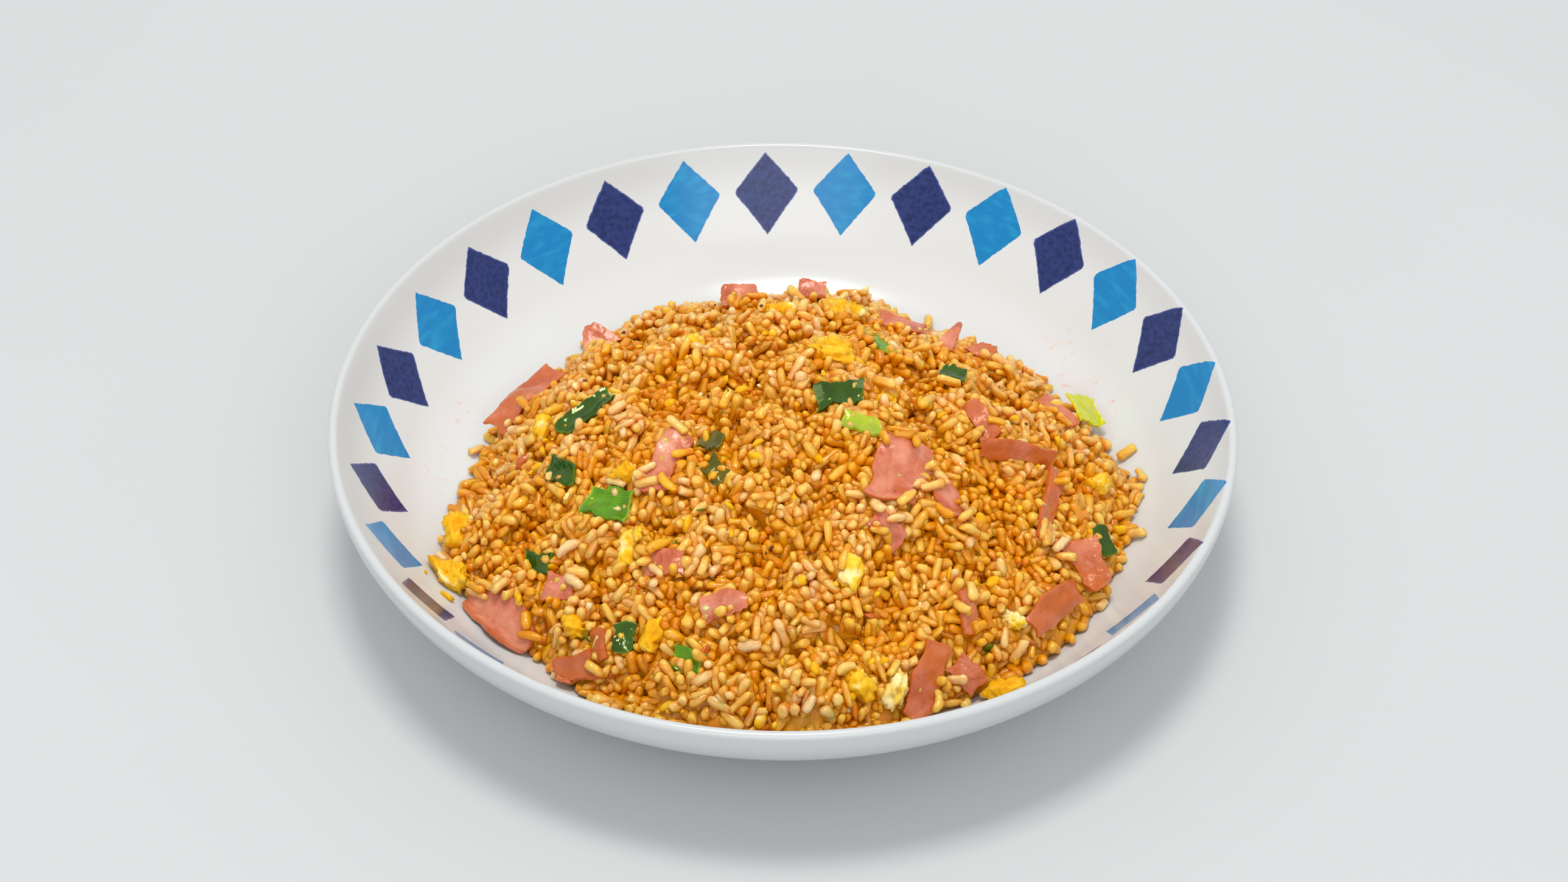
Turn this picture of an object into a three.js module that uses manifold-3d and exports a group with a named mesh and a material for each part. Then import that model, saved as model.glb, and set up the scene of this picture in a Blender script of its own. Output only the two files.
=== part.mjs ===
// Fried rice with ham, egg and scallion, heaped in a deep glazed plate with a ring of diamonds.
// Millimetres, +Z up. The origin is the middle of the foot, on the surface that the plate stands on.
// +Y points away from someone who looks at the plate from its front.

import * as THREE from "three";
import { mergeVertices } from "three/addons/utils/BufferGeometryUtils.js";
import Module from "manifold-3d";

const wasm = await Module();
wasm.setup();

// Plate
const PLATE_RADIUS = 127;
const PLATE_SEGMENTS = 54;
const LIP_RADIUS = 1.5;
const LIP_HEIGHT = 40.5;
const FLOOR_HEIGHT = 5.5;
const FLOOR_RADIUS = 81;
const BEND_RADIUS = 35;
const BEND_ANGLE = 52;
const WALL_BEND_RADIUS = 235;
const WALL_TOP_ANGLE = 58.2;
const OUTER_BULGE_WIDTH = 69.4;
const OUTER_BULGE_HEIGHT = 33.1;
const OUTER_BULGE_ANGLE = 24;
const UNDERSIDE_HEIGHT = 1.9;
const UNDERSIDE_BEND_RADIUS = 36;
const FOOT_OUTER_RADIUS = 70;
const FOOT_INNER_RADIUS = 65.5;
const FOOT_RECESS_HEIGHT = 2.2;
const FOOT_OUTER_FLARE = 0.6;
const FOOT_INNER_FLARE = 0.8;

// Heap of rice
const GAP = 0.3;
const HEAP_RADIUS = 95.9;
const HEAP_TOP = 51.5;
const HEAP_SHIFT_Y = -5;
const GRAIN_SPACING = 3.15;
const GRAIN_BUMP = 2.1;
const GRAIN_JITTER = 0.45;
const EDGE_FADE = 12;
const LATTICE_REACH = 118;
const BLOCK_BOTTOM = -70;
const ROOM_CEILING = 90;

// Toppings: how high they lie over the bare heap, and how far the rice stays below them
const REST_HEIGHT = 0.55;
const EGG_REST_HEIGHT = 0.5;
const PRESS_CLEARANCE = 0.55;

// Waves in the heap's outline: how many go round, size, direction in degrees
const OUTLINE_WAVES = [
  [1, 6.2, -69],
  [3, 1.7, -50],
  [4, 1.65, 22],
  [5, 1.15, -82],
  [6, 0.75, 134],
  [9, 1.0, -4],
];

// Clumps of rice that stand proud: x, y, radius, height
const MOUNDS = [
  [-28, 10, 14, 3.0],
  [-12, 29, 12, 2.2],
  [4, 7, 11, 2.8],
  [-15, -7, 9, 2.2],
  [1, -22, 10, 2.0],
  [16, -28, 10, 1.6],
  [10, -50, 12, 3.2],
  [-9, -45, 9, 1.8],
  [-53, -14, 12, 2.4],
  [26, 4, 10, 2.0],
  [49, -22, 10, 2.6],
  [64, -6, 12, 2.0],
  [46, -48, 12, 3.0],
  [22, -53, 8, 2.0],
  [2, -72, 9, 2.0],
  [-61, -63, 11, 2.2],
  [-31, -67, 10, 2.4],
  [41, -66, 10, 2.0],
  [-72, -36, 11, 1.6],
  [-2, -90, 12, 1.4],
  [88, -8, 9, 1.6],
  [-40, 44, 12, 1.6],
  [30, 42, 12, 1.2],
];

// Hollows between the clumps: x, y, radius, depth
const HOLLOWS = [
  [-2, 18, 6, 2.4],
  [-22, -17, 8, 3.0],
  [8, -13, 7, 2.6],
  [-20, -66, 7, 3.0],
  [-10, -64, 7, 2.8],
  [33, -53, 7, 3.0],
  [41, -28, 7, 2.6],
  [60, -21, 6, 3.2],
  [-50, -52, 7, 3.0],
  [-67, -27, 6, 2.4],
  [65, -52, 8, 3.0],
  [-36, -84, 8, 2.2],
  [14, -77, 7, 2.6],
  [-33, -43, 6, 2.2],
  [46, 38, 8, 2.2],
  [30, -80, 8, 2.0],
];

// Fine swell of the heap: wavelength, direction in degrees, height
const SWELLS = [
  [23, 17, 0.55],
  [19, 74, 0.5],
  [14, 131, 0.45],
  [11, 48, 0.35],
];

// Torn edges of a thin sheet: shares of its width and length
const COARSE_RAG = 0.14;
const FINE_RAG = 0.08;
const END_BOW = 0.1;
const ROUND_ENDS = 1.7;
const CURL_SHARE = 0.6;

// Ham: a salmon slice cut in strips and scraps
const HAM_THICKNESS = 1.2;
const HAM_PIECES = [
  { at: [-13, 59], turn: 2, size: [10.5, 7], tilt: 40 },
  { at: [8, 58.5], turn: -4, size: [8, 6.5], tilt: 36, curl: 1.6 },
  { at: [-54, 48], turn: 28, size: [13, 9], tilt: 52, peak: 0.7 },
  { at: [-74.5, 30], turn: 50, size: [26, 9], tilt: 26, wave: 0.8 },
  { at: [-31.5, -28.5], turn: 64, size: [22, 8], wave: 0.9, lift: 0.7 },
  { at: [34, 45], turn: -12, size: [14, 6], tilt: 22 },
  { at: [47.5, 35], turn: -36, size: [7.5, 10], tilt: 64, peak: 0.85 },
  { at: [58.5, 43], turn: -34, size: [10, 6], tilt: 36, peak: 0.5 },
  { at: [32, -31], turn: 72, size: [24, 14], wave: 1.4, tilt: 8 },
  { at: [45, -38], turn: 112, size: [13, 8], tilt: 12 },
  { at: [27.5, -49], turn: -22, size: [11, 6], tilt: 18 },
  { at: [54.5, -7], turn: -61, size: [15, 5.5], tilt: 34, wave: 0.8 },
  { at: [64, -14.5], turn: 17, size: [23, 6], tilt: 42, wave: 1.2 },
  { at: [72.5, -28], turn: -104, size: [24, 9], tilt: -20, taper: 0.55 },
  { at: [78.5, 19], turn: -48, size: [13, 5], tilt: 30 },
  { at: [83, -41.5], turn: -58, size: [15, 11], tilt: 30, curl: 1.4, taper: 0.4 },
  { at: [73.8, -57.5], turn: 48, size: [20, 8], wave: 1.2, tilt: 12, lift: 0.3 },
  { at: [38.5, -84], turn: 70, size: [22, 8.5], wave: 1.2, tilt: 8, lift: 0.2 },
  { at: [49.5, -79], turn: -34, size: [9.2, 7], tilt: 16, lift: 0.4 },
  { at: [-76.5, -57.5], turn: -47, size: [24, 15], wave: 0.8, round: true },
  { at: [-54.5, -78], turn: -8, size: [12, 7], curl: 1.8, tilt: 14, lift: 0.2 },
  { at: [-48, -74], turn: -80, size: [9, 5], tilt: 16 },
  { at: [-31, -58.5], turn: -14, size: [12, 7], tilt: 12 },
  { at: [-15, -71], turn: 10, size: [12, 7], tilt: 22 },
  { at: [-59.5, -55.5], turn: -24, size: [9.5, 7], tilt: 12 },
  { at: [50, -65], turn: 96, size: [12, 6], tilt: 14 },
];

// Scallion: cut leaf rings and strips
const SCALLION_THICKNESS = 0.9;
const SCALLION_PIECES = [
  { at: [-55, 0], turn: 38, size: [17, 8], curl: 2.0, tilt: 16, colour: "dark" },
  { at: [-47.5, -37.5], turn: -22, size: [13, 9], curl: 2.4, lift: 0.6, colour: "bright" },
  { at: [15, -7], turn: 20, size: [15, 6.5], curl: 1.2, tilt: 20, colour: "dark" },
  { at: [21.5, -17.5], turn: -4, size: [11, 6], curl: 1.4, lift: 0.5, colour: "light" },
  { at: [26, 26], turn: -62, size: [15, 5], curl: 1.0, colour: "bright" },
  { at: [48, 14.5], turn: -16, size: [7, 6], curl: 0.8, tilt: 18, colour: "dark" },
  { at: [87.5, 26.5], turn: 40, size: [14, 10], tilt: 24, lift: 2.4, colour: "yellow" },
  { at: [-60.5, -24], turn: -44, size: [11, 6], curl: 1.6, tilt: 18, colour: "dark" },
  { at: [-66.5, -46.5], turn: -20, size: [8, 5.5], curl: 1.2, colour: "dark" },
  { at: [-41.5, -74.5], turn: 86, size: [8, 5.5], tilt: 10, lift: 0.8, colour: "dark" },
  { at: [-24.5, -83], turn: -30, size: [9, 6], curl: 1.2, colour: "bright" },
  { at: [-19.3, -24], turn: -38, size: [8, 5.5], curl: 1.4, tilt: 16, colour: "olive" },
  { at: [-18.5, -33.5], turn: -50, size: [8, 5.5], curl: 1.4, colour: "olive" },
  { at: [88.5, -30.5], turn: -66, size: [9, 5], tilt: 22, lift: 0.3, colour: "dark" },
];

// Egg: scrambled pieces as x, y, turn, length, width, height
const EGG_SIDES = 6;
const EGG_BANDS = 4;
const EGG_FLAT = -0.25;
const EGG_ROUNDNESS = 0.8;
const EGG_LEAST = 0.82;
const EGG_UNEVEN = 0.36;
const EGG_PIECES = [
  { at: [17, 44], turn: -20, size: [13, 10, 5.0] },
  { at: [13.5, 15], turn: -12, size: [14, 11, 5.0] },
  { at: [-2.5, 39], turn: 6, size: [10, 8, 4.2] },
  { at: [-25, 21], turn: -50, size: [9, 6, 3.8] },
  { at: [-41.5, -29], turn: 20, size: [9, 6.5, 4.6] },
  { at: [-41, -51], turn: 70, size: [11, 6.5, 4.4] },
  { at: [-89, -26], turn: 40, size: [12, 10, 5.6] },
  { at: [-91, -40.5], turn: -36, size: [13, 8, 5.6] },
  { at: [20.5, -88.5], turn: -52, size: [11, 7, 4.6] },
  { at: [30, -87], turn: 78, size: [12, 6, 4.8], pale: true },
  { at: [18, -62.5], turn: 84, size: [11, 6, 4.6], pale: true },
  { at: [60.5, -84], turn: 22, size: [11, 6, 4.2] },
  { at: [88.5, -10.5], turn: 10, size: [8, 6.5, 4.2] },
  { at: [62, -62.5], turn: -28, size: [7.5, 5, 4.0], pale: true },
  { at: [-66.5, 3], turn: 70, size: [11, 5.5, 4.0] },
  { at: [-54.5, -66.5], turn: -34, size: [8.5, 6, 4.2] },
  { at: [-33.5, -75], turn: 66, size: [10, 6, 4.2] },
];

// Crumbs of egg too small to lie apart from the rice: x, y, height
const CRUMB_REACH = GRAIN_SPACING * 0.8;
const EGG_CRUMBS = [
  [0.5, -39, 1.2],
  [-6.5, -28, 1.2],
  [30, -4.5, 1.4],
  [-11.5, -4, 1.0],
  [50.5, -15.5, 1.2],
  [23.5, -61, 1.0],
  [35, -55, 1.0],
  [63, -57.5, 1.0],
  [77.5, -41, 1.0],
  [-25.5, -94, 1.0],
  [-18.5, -80, 1.0],
  [61, -50.5, 1.0],
  [86, -25, 1.0],
  [94, -17, 1.0],
  [-68, -10, 1.0],
];

const COLOURS = {
  glaze: 0xe9e8e5,
  rice: 0xdb9340,
  ham: 0xd9806a,
  yolk: 0xf0b62a,
  pale: 0xf3dfa0,
  dark: 0x2f5a24,
  bright: 0x4f8d1e,
  light: 0xa9bf45,
  yellow: 0xbfc615,
  olive: 0x5e5a1e,
};

const radians = THREE.MathUtils.degToRad;

// A number from 0 to 1 that is always the same for the same three values
function scatter(a, b, c = 0) {
  const wave = Math.sin(a * 127.1 + b * 311.7 + c * 74.7) * 43758.5453;
  return wave - Math.floor(wave);
}

function material(colour, roughness) {
  return new THREE.MeshStandardMaterial({ color: colour, roughness, metalness: 0 });
}

// Points on a round stretch from one slope to another, both in degrees from level
function bend(centreR, centreZ, radius, fromAngle, toAngle, steps) {
  const points = [];
  for (let i = 0; i <= steps; i++) {
    const slope = radians(fromAngle + ((toAngle - fromAngle) * i) / steps);
    points.push([centreR + radius * Math.sin(slope), centreZ - radius * Math.cos(slope)]);
  }
  return points;
}

const BEND_END_R = FLOOR_RADIUS + BEND_RADIUS * Math.sin(radians(BEND_ANGLE));
const BEND_END_Z = FLOOR_HEIGHT + BEND_RADIUS * (1 - Math.cos(radians(BEND_ANGLE)));
const WALL_CENTRE_R = BEND_END_R - WALL_BEND_RADIUS * Math.sin(radians(BEND_ANGLE));
const WALL_CENTRE_Z = BEND_END_Z + WALL_BEND_RADIUS * Math.cos(radians(BEND_ANGLE));

// Height of the plate's inner face at a distance from its middle
function plateInside(r) {
  if (r <= FLOOR_RADIUS) return FLOOR_HEIGHT;
  if (r <= BEND_END_R) {
    return FLOOR_HEIGHT + BEND_RADIUS - Math.sqrt(BEND_RADIUS ** 2 - (r - FLOOR_RADIUS) ** 2);
  }
  return WALL_CENTRE_Z - Math.sqrt(WALL_BEND_RADIUS ** 2 - (r - WALL_CENTRE_R) ** 2);
}

// Inner face as points from the floor to just under the lip, moved inwards by an offset
function innerProfile(offset, bendSteps, wallSteps) {
  const corner = bend(
    FLOOR_RADIUS, FLOOR_HEIGHT + BEND_RADIUS, BEND_RADIUS - offset, 0, BEND_ANGLE, bendSteps);
  const wall = bend(
    WALL_CENTRE_R, WALL_CENTRE_Z, WALL_BEND_RADIUS - offset, BEND_ANGLE, WALL_TOP_ANGLE, wallSteps);
  return [...corner, ...wall.slice(1)];
}

function lathe(profile, segments) {
  const points = profile.map(([r, z]) => new THREE.Vector2(r, z));
  return new THREE.LatheGeometry(points, segments).rotateX(Math.PI / 2);
}

function outerProfile() {
  const points = [];
  const bulgeSteps = 2;
  for (let i = 0; i <= bulgeSteps; i++) {
    const angle = radians((OUTER_BULGE_ANGLE * i) / bulgeSteps);
    points.push([
      PLATE_RADIUS - OUTER_BULGE_WIDTH * (1 - Math.cos(angle)),
      LIP_HEIGHT - OUTER_BULGE_HEIGHT * Math.sin(angle),
    ]);
  }
  const [fromR, fromZ] = points[points.length - 1];
  const bulge = radians(OUTER_BULGE_ANGLE);
  const slope = Math.atan2(
    OUTER_BULGE_HEIGHT * Math.cos(bulge), OUTER_BULGE_WIDTH * Math.sin(bulge));
  const bendTop = UNDERSIDE_HEIGHT + UNDERSIDE_BEND_RADIUS * (1 - Math.cos(slope));
  const bendTopR = fromR - (fromZ - bendTop) / Math.tan(slope);
  const centreR = bendTopR - UNDERSIDE_BEND_RADIUS * Math.sin(slope);
  const centreZ = UNDERSIDE_HEIGHT + UNDERSIDE_BEND_RADIUS;
  return [
    ...points,
    ...bend(centreR, centreZ, UNDERSIDE_BEND_RADIUS, THREE.MathUtils.radToDeg(slope), 0, 3),
  ];
}

function lipProfile() {
  const centreR = PLATE_RADIUS - LIP_RADIUS;
  const points = [];
  const steps = 4;
  for (let i = 1; i < steps; i++) {
    const angle = (Math.PI * i) / steps;
    points.push([
      centreR + LIP_RADIUS * Math.cos(angle),
      LIP_HEIGHT + LIP_RADIUS * Math.sin(angle),
    ]);
  }
  return points;
}

function makePlate() {
  const foot = [
    [FOOT_OUTER_RADIUS + FOOT_OUTER_FLARE, UNDERSIDE_HEIGHT],
    [FOOT_OUTER_RADIUS, 0],
    [FOOT_INNER_RADIUS, 0],
    [FOOT_INNER_RADIUS - FOOT_INNER_FLARE, FOOT_RECESS_HEIGHT],
    [0, FOOT_RECESS_HEIGHT],
  ];
  const inside = innerProfile(0, 4, 2);
  const profile = [
    [0, FLOOR_HEIGHT],
    ...inside,
    ...lipProfile().reverse(),
    ...outerProfile(),
    ...foot,
  ];
  return lathe(profile.reverse(), PLATE_SEGMENTS);
}

// Distance from the plate's middle to the edge of the rice in a direction
function outlineRadius(direction) {
  return OUTLINE_WAVES.reduce(
    (sum, [count, size, turn]) => sum + size * Math.cos(count * direction - radians(turn)),
    HEAP_RADIUS);
}

// A round hill that falls smoothly to nothing at its radius
function hill(distance, radius) {
  return distance < radius ? (1 - (distance / radius) ** 2) ** 2 : 0;
}

// Height of the bare heap, under its grains
function heapCore(x, y) {
  const direction = Math.atan2(y, x);
  const edge = outlineRadius(direction);
  const inward = Math.max(0, 1 - Math.hypot(x, y) / edge);
  const reach = Math.hypot(x, y - HEAP_SHIFT_Y * inward) / edge;
  const foot = plateInside(edge);
  const dome = foot + (HEAP_TOP - foot) * (1 - reach ** 2);
  let relief = 0;
  for (const [mx, my, radius, height] of MOUNDS) {
    relief += height * hill(Math.hypot(x - mx, y - my), radius);
  }
  for (const [hx, hy, radius, depth] of HOLLOWS) {
    relief -= depth * hill(Math.hypot(x - hx, y - hy), radius);
  }
  for (const [length, turn, height] of SWELLS) {
    const along = x * Math.cos(radians(turn)) + y * Math.sin(radians(turn));
    relief += height * Math.sin((2 * Math.PI * along) / length);
  }
  const fade = THREE.MathUtils.clamp(((1 - reach) * edge) / EDGE_FADE, 0, 1);
  return dome + relief * fade;
}

// Height of what a topping lies on: the bare heap, or the plate beside it
function ground(x, y) {
  return Math.max(heapCore(x, y), plateInside(Math.hypot(x, y)));
}

// The plane that touches the ground at a point
function groundFrame(x, y, turn) {
  const step = 2;
  const slopeX = (ground(x + step, y) - ground(x - step, y)) / (2 * step);
  const slopeY = (ground(x, y + step) - ground(x, y - step)) / (2 * step);
  const up = new THREE.Vector3(-slopeX, -slopeY, 1).normalize();
  const heading = radians(turn);
  const along = new THREE.Vector3(
    Math.cos(heading), Math.sin(heading), slopeX * Math.cos(heading) + slopeY * Math.sin(heading));
  along.normalize();
  const across = up.clone().cross(along);
  return { up, along, across, slopeX, slopeY, height: ground(x, y) };
}

// Where the rice has to stay low because a topping lies there: x, y, height over the bare heap
const pressed = [];

function press(x, y, underside) {
  pressed.push([x, y, underside - heapCore(x, y) - PRESS_CLEARANCE]);
}

// Middle of a thin sheet at s along and t across, both from -1/2 to 1/2
function sheetPoint(piece, frame, s, t) {
  const { at, size, seed, tilt = 0, taper = 0, peak = 0, wave = 0, curl = 0, lift = 0 } = piece;
  const narrowing = piece.round ? Math.sqrt(1 - (ROUND_ENDS * s) ** 2) : 1 - taper * (s + 0.5);
  const coarse = COARSE_RAG * Math.sin(9 * s + seed * 5);
  const fine = FINE_RAG * Math.sin(23 * s + seed * 11);
  const bow = 1 - END_BOW * Math.cos(5 * t + seed * 3);
  const u = s * size[0] * (1 - peak * (t + 0.5)) * bow;
  const v = t * size[1] * narrowing * (1 + coarse + fine);
  const lean = radians(tilt);
  const rise = v * Math.sin(lean) + size[1] * 0.5 * Math.sin(Math.abs(lean));
  const ripple = wave * (1 + Math.sin(7 * s + 2.4 * t + seed * 7)) * 0.5;
  const swell = ripple + curl * (2 * t) ** 2 * CURL_SHARE;
  const point = new THREE.Vector3(at[0], at[1], frame.height)
    .addScaledVector(frame.along, u)
    .addScaledVector(frame.across, v * Math.cos(lean));
  const plane =
    frame.height + frame.slopeX * (point.x - at[0]) + frame.slopeY * (point.y - at[1]);
  point.z += ground(point.x, point.y) - plane + (swell + lift) / frame.up.z;
  return point.addScaledVector(frame.up, rise);
}

function sheetNormal(piece, frame, s, t) {
  const step = 0.04;
  const alongS = sheetPoint(piece, frame, s + step, t).sub(sheetPoint(piece, frame, s - step, t));
  const alongT = sheetPoint(piece, frame, s, t + step).sub(sheetPoint(piece, frame, s, t - step));
  return alongS.cross(alongT).normalize();
}

// A thin wavy sheet that lies on the heap: both faces are split alike, with a rim between them
function makeSheet(piece, thickness) {
  const frame = groundFrame(piece.at[0], piece.at[1], piece.turn);
  const [long, wide] = piece.size;
  const cellsAlong = long > 18 ? 6 : long > 9 ? 4 : 3;
  const cellsAcross = wide > 7.5 ? 3 : 2;
  const columns = cellsAlong + 1;
  const rows = cellsAcross + 1;
  const positions = [];
  const clearance = REST_HEIGHT + thickness / 2;
  const inset = 0.96;
  for (const side of [1, -1]) {
    for (let j = 0; j < rows; j++) {
      for (let i = 0; i < columns; i++) {
        const s = i / cellsAlong - 0.5;
        const t = j / cellsAcross - 0.5;
        const normal = sheetNormal(piece, frame, s * inset, t * inset);
        const point = sheetPoint(piece, frame, s, t);
        point.addScaledVector(normal, (side * thickness) / 2);
        point.z += clearance / frame.up.z;
        positions.push(point.x, point.y, point.z);
      }
    }
  }
  const back = rows * columns;
  const index = [];
  for (let j = 0; j < cellsAcross; j++) {
    for (let i = 0; i < cellsAlong; i++) {
      const a = j * columns + i;
      const [b, c, d] = [a + 1, a + 1 + columns, a + columns];
      index.push(a, b, c, a, c, d);
      index.push(a + back, c + back, b + back, a + back, d + back, c + back);
    }
  }
  const rim = [];
  for (let i = 0; i < cellsAlong; i++) rim.push(i);
  for (let j = 0; j < cellsAcross; j++) rim.push(j * columns + cellsAlong);
  for (let i = cellsAlong; i > 0; i--) rim.push(cellsAcross * columns + i);
  for (let j = cellsAcross; j > 0; j--) rim.push(j * columns);
  rim.forEach((a, k) => {
    const b = rim[(k + 1) % rim.length];
    index.push(a, a + back, b + back, a, b + back, b);
  });
  pressUnder(positions.slice(back * 3), columns, rows);
  const geometry = new THREE.BufferGeometry();
  geometry.setAttribute("position", new THREE.Float32BufferAttribute(positions, 3));
  geometry.setIndex(index);
  return geometry;
}

// Keeps the rice below the underside of a sheet, at points between its corners too
function pressUnder(underside, columns, rows) {
  const steps = 4;
  const corner = (i, j, axis) => underside[(j * columns + i) * 3 + axis];
  for (let j = 0; j < rows - 1; j++) {
    for (let i = 0; i < columns - 1; i++) {
      for (let q = 0; q <= steps; q++) {
        for (let p = 0; p <= steps; p++) {
          const [a, b] = [p / steps, q / steps];
          const between = (axis) =>
            (corner(i, j, axis) * (1 - a) + corner(i + 1, j, axis) * a) * (1 - b) +
            (corner(i, j + 1, axis) * (1 - a) + corner(i + 1, j + 1, axis) * a) * b;
          press(between(0), between(1), between(2));
        }
      }
    }
  }
}

// A lump of scrambled egg, flat below and uneven above
function makeEgg(piece) {
  const { at, turn, size } = piece;
  const frame = groundFrame(at[0], at[1], turn);
  const ball = new THREE.SphereGeometry(1, EGG_SIDES, EGG_BANDS).rotateX(Math.PI / 2);
  ball.deleteAttribute("normal");
  ball.deleteAttribute("uv");
  const geometry = mergeVertices(ball, 1e-4);
  const position = geometry.getAttribute("position");
  for (let i = 0; i < position.count; i++) {
    const spot = new THREE.Vector3().fromBufferAttribute(position, i);
    const uneven = EGG_LEAST + EGG_UNEVEN * scatter(at[0] + i, at[1], size[0]);
    const u = spot.x * size[0] * 0.5 * uneven;
    const v = spot.y * size[1] * 0.5 * uneven;
    const rise = Math.max(spot.z * uneven, EGG_FLAT) - EGG_FLAT;
    const point = new THREE.Vector3(at[0], at[1], 0)
      .addScaledVector(frame.along, u)
      .addScaledVector(frame.across, v);
    point.z = ground(point.x, point.y);
    press(point.x, point.y, point.z + EGG_REST_HEIGHT);
    point.addScaledVector(frame.up, EGG_REST_HEIGHT + rise * size[2] * EGG_ROUNDNESS);
    position.setXYZ(i, point.x, point.y, point.z);
  }
  pressRound(at, size);
  return geometry;
}

// Keeps the rice below the middle of a lump of egg
function pressRound(at, size) {
  const reach = Math.min(size[0], size[1]) * 0.5;
  const rings = 2;
  const spokes = 8;
  for (let ring = 0; ring <= rings; ring++) {
    for (let k = 0; k < spokes; k++) {
      const angle = (2 * Math.PI * k) / spokes;
      const x = at[0] + ((reach * ring) / rings) * Math.cos(angle);
      const y = at[1] + ((reach * ring) / rings) * Math.sin(angle);
      press(x, y, ground(x, y) + EGG_REST_HEIGHT);
    }
  }
}

// Corners of the grain pattern: rows set off by half a step, each corner nudged a little
function grainLattice() {
  const rowStep = (GRAIN_SPACING * Math.sqrt(3)) / 2;
  const half = Math.ceil(LATTICE_REACH / GRAIN_SPACING);
  const halfRows = Math.ceil(LATTICE_REACH / rowStep);
  const columns = 2 * half + 1;
  const rows = 2 * halfRows + 1;
  const corners = [];
  for (let j = 0; j < rows; j++) {
    for (let i = 0; i < columns; i++) {
      const shift = j % 2 === 0 ? 0 : 0.5;
      const turn = 2 * Math.PI * scatter(i, j, 1);
      const nudge = GRAIN_JITTER * scatter(i, j, 2);
      corners.push([
        (i - half + shift) * GRAIN_SPACING + nudge * Math.cos(turn),
        (j - halfRows) * rowStep + nudge * Math.sin(turn),
      ]);
    }
  }
  return { corners, columns, rows };
}

// The corners next to one corner of the grain pattern
function neighbours(index, columns, rows) {
  const i = index % columns;
  const j = Math.floor(index / columns);
  const side = j % 2 === 0 ? -1 : 1;
  return [[i - 1, j], [i + 1, j], [i, j - 1], [i, j + 1], [i + side, j - 1], [i + side, j + 1]]
    .filter(([a, b]) => a >= 0 && b >= 0 && a < columns && b < rows)
    .map(([a, b]) => b * columns + a);
}

// How far each corner stands over the bare heap: a grain is a ridge between two raised neighbours
function grainBumps({ corners, columns, rows }) {
  const bumps = new Float64Array(corners.length);
  const taken = new Uint8Array(corners.length);
  const order = corners.map((_, k) => k);
  order.sort((a, b) => scatter(a, 3) - scatter(b, 3));
  for (const a of order) {
    if (taken[a]) continue;
    const near = neighbours(a, columns, rows);
    const free = near.filter((k) => !taken[k]);
    if (free.length < 3) continue;
    const b = free[Math.floor(scatter(a, 5) * free.length)];
    const height = GRAIN_BUMP * (0.55 + 0.45 * scatter(a, 7));
    bumps[a] = height;
    bumps[b] = height * (0.75 + 0.3 * scatter(b, 9));
    taken[a] = 1;
    taken[b] = 1;
    const gap = near.filter((k) => !taken[k]);
    gap.slice(0, 2).forEach((k) => (taken[k] = 1));
  }
  return bumps;
}

// The topping that presses hardest near a corner sets how high the rice may stand there
function lowerUnderToppings(corners, bumps) {
  const reach = GRAIN_SPACING * 1.1;
  corners.forEach(([x, y], k) => {
    for (const [px, py, height] of pressed) {
      if (Math.hypot(px - x, py - y) < reach) {
        bumps[k] = Math.min(bumps[k], height);
      }
    }
  });
}

function addCrumbs(corners, bumps) {
  corners.forEach(([x, y], k) => {
    for (const [cx, cy, height] of EGG_CRUMBS) {
      if (Math.hypot(cx - x, cy - y) < CRUMB_REACH) bumps[k] = GRAIN_BUMP + height;
    }
  });
}

// A closed block whose top is the surface of the rice
function riceBlock() {
  const lattice = grainLattice();
  const { corners, columns, rows } = lattice;
  const bumps = grainBumps(lattice);
  addCrumbs(corners, bumps);
  lowerUnderToppings(corners, bumps);
  const positions = [];
  corners.forEach(([x, y], k) => positions.push(x, y, heapCore(x, y) + bumps[k]));
  corners.forEach(([x, y]) => positions.push(x, y, BLOCK_BOTTOM));
  const back = corners.length;
  const index = [];
  for (let j = 0; j < rows - 1; j++) {
    for (let i = 0; i < columns - 1; i++) {
      const a = j * columns + i;
      const [b, c, d] = [a + 1, a + columns, a + columns + 1];
      const faces = j % 2 === 0 ? [[a, b, c], [b, d, c]] : [[a, b, d], [a, d, c]];
      for (const [p, q, r] of faces) {
        index.push(p, q, r, p + back, r + back, q + back);
      }
    }
  }
  const rim = [];
  for (let i = 0; i < columns - 1; i++) rim.push(i);
  for (let j = 0; j < rows - 1; j++) rim.push(j * columns + columns - 1);
  for (let i = columns - 1; i > 0; i--) rim.push((rows - 1) * columns + i);
  for (let j = rows - 1; j > 0; j--) rim.push(j * columns);
  rim.forEach((a, k) => {
    const b = rim[(k + 1) % rim.length];
    index.push(a, a + back, b + back, a, b + back, b);
  });
  const geometry = new THREE.BufferGeometry();
  geometry.setAttribute("position", new THREE.Float32BufferAttribute(positions, 3));
  geometry.setIndex(index);
  return geometry;
}

// The room inside the plate, a gap clear of its inner face, up to above the heap
function plateRoom() {
  const inside = innerProfile(GAP, 3, 1);
  const rimR = inside[inside.length - 1][0];
  const floor = [0, FLOOR_HEIGHT + GAP];
  return lathe([floor, ...inside, [rimR, ROOM_CEILING], [0, ROOM_CEILING]], PLATE_SEGMENTS);
}

function toSolid(geometry) {
  const bare = geometry.clone();
  bare.deleteAttribute("normal");
  bare.deleteAttribute("uv");
  const merged = mergeVertices(bare, 1e-4);
  return new wasm.Manifold(new wasm.Mesh({
    numProp: 3,
    vertProperties: new Float32Array(merged.getAttribute("position").array),
    triVerts: new Uint32Array(merged.index.array),
  }));
}

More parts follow.
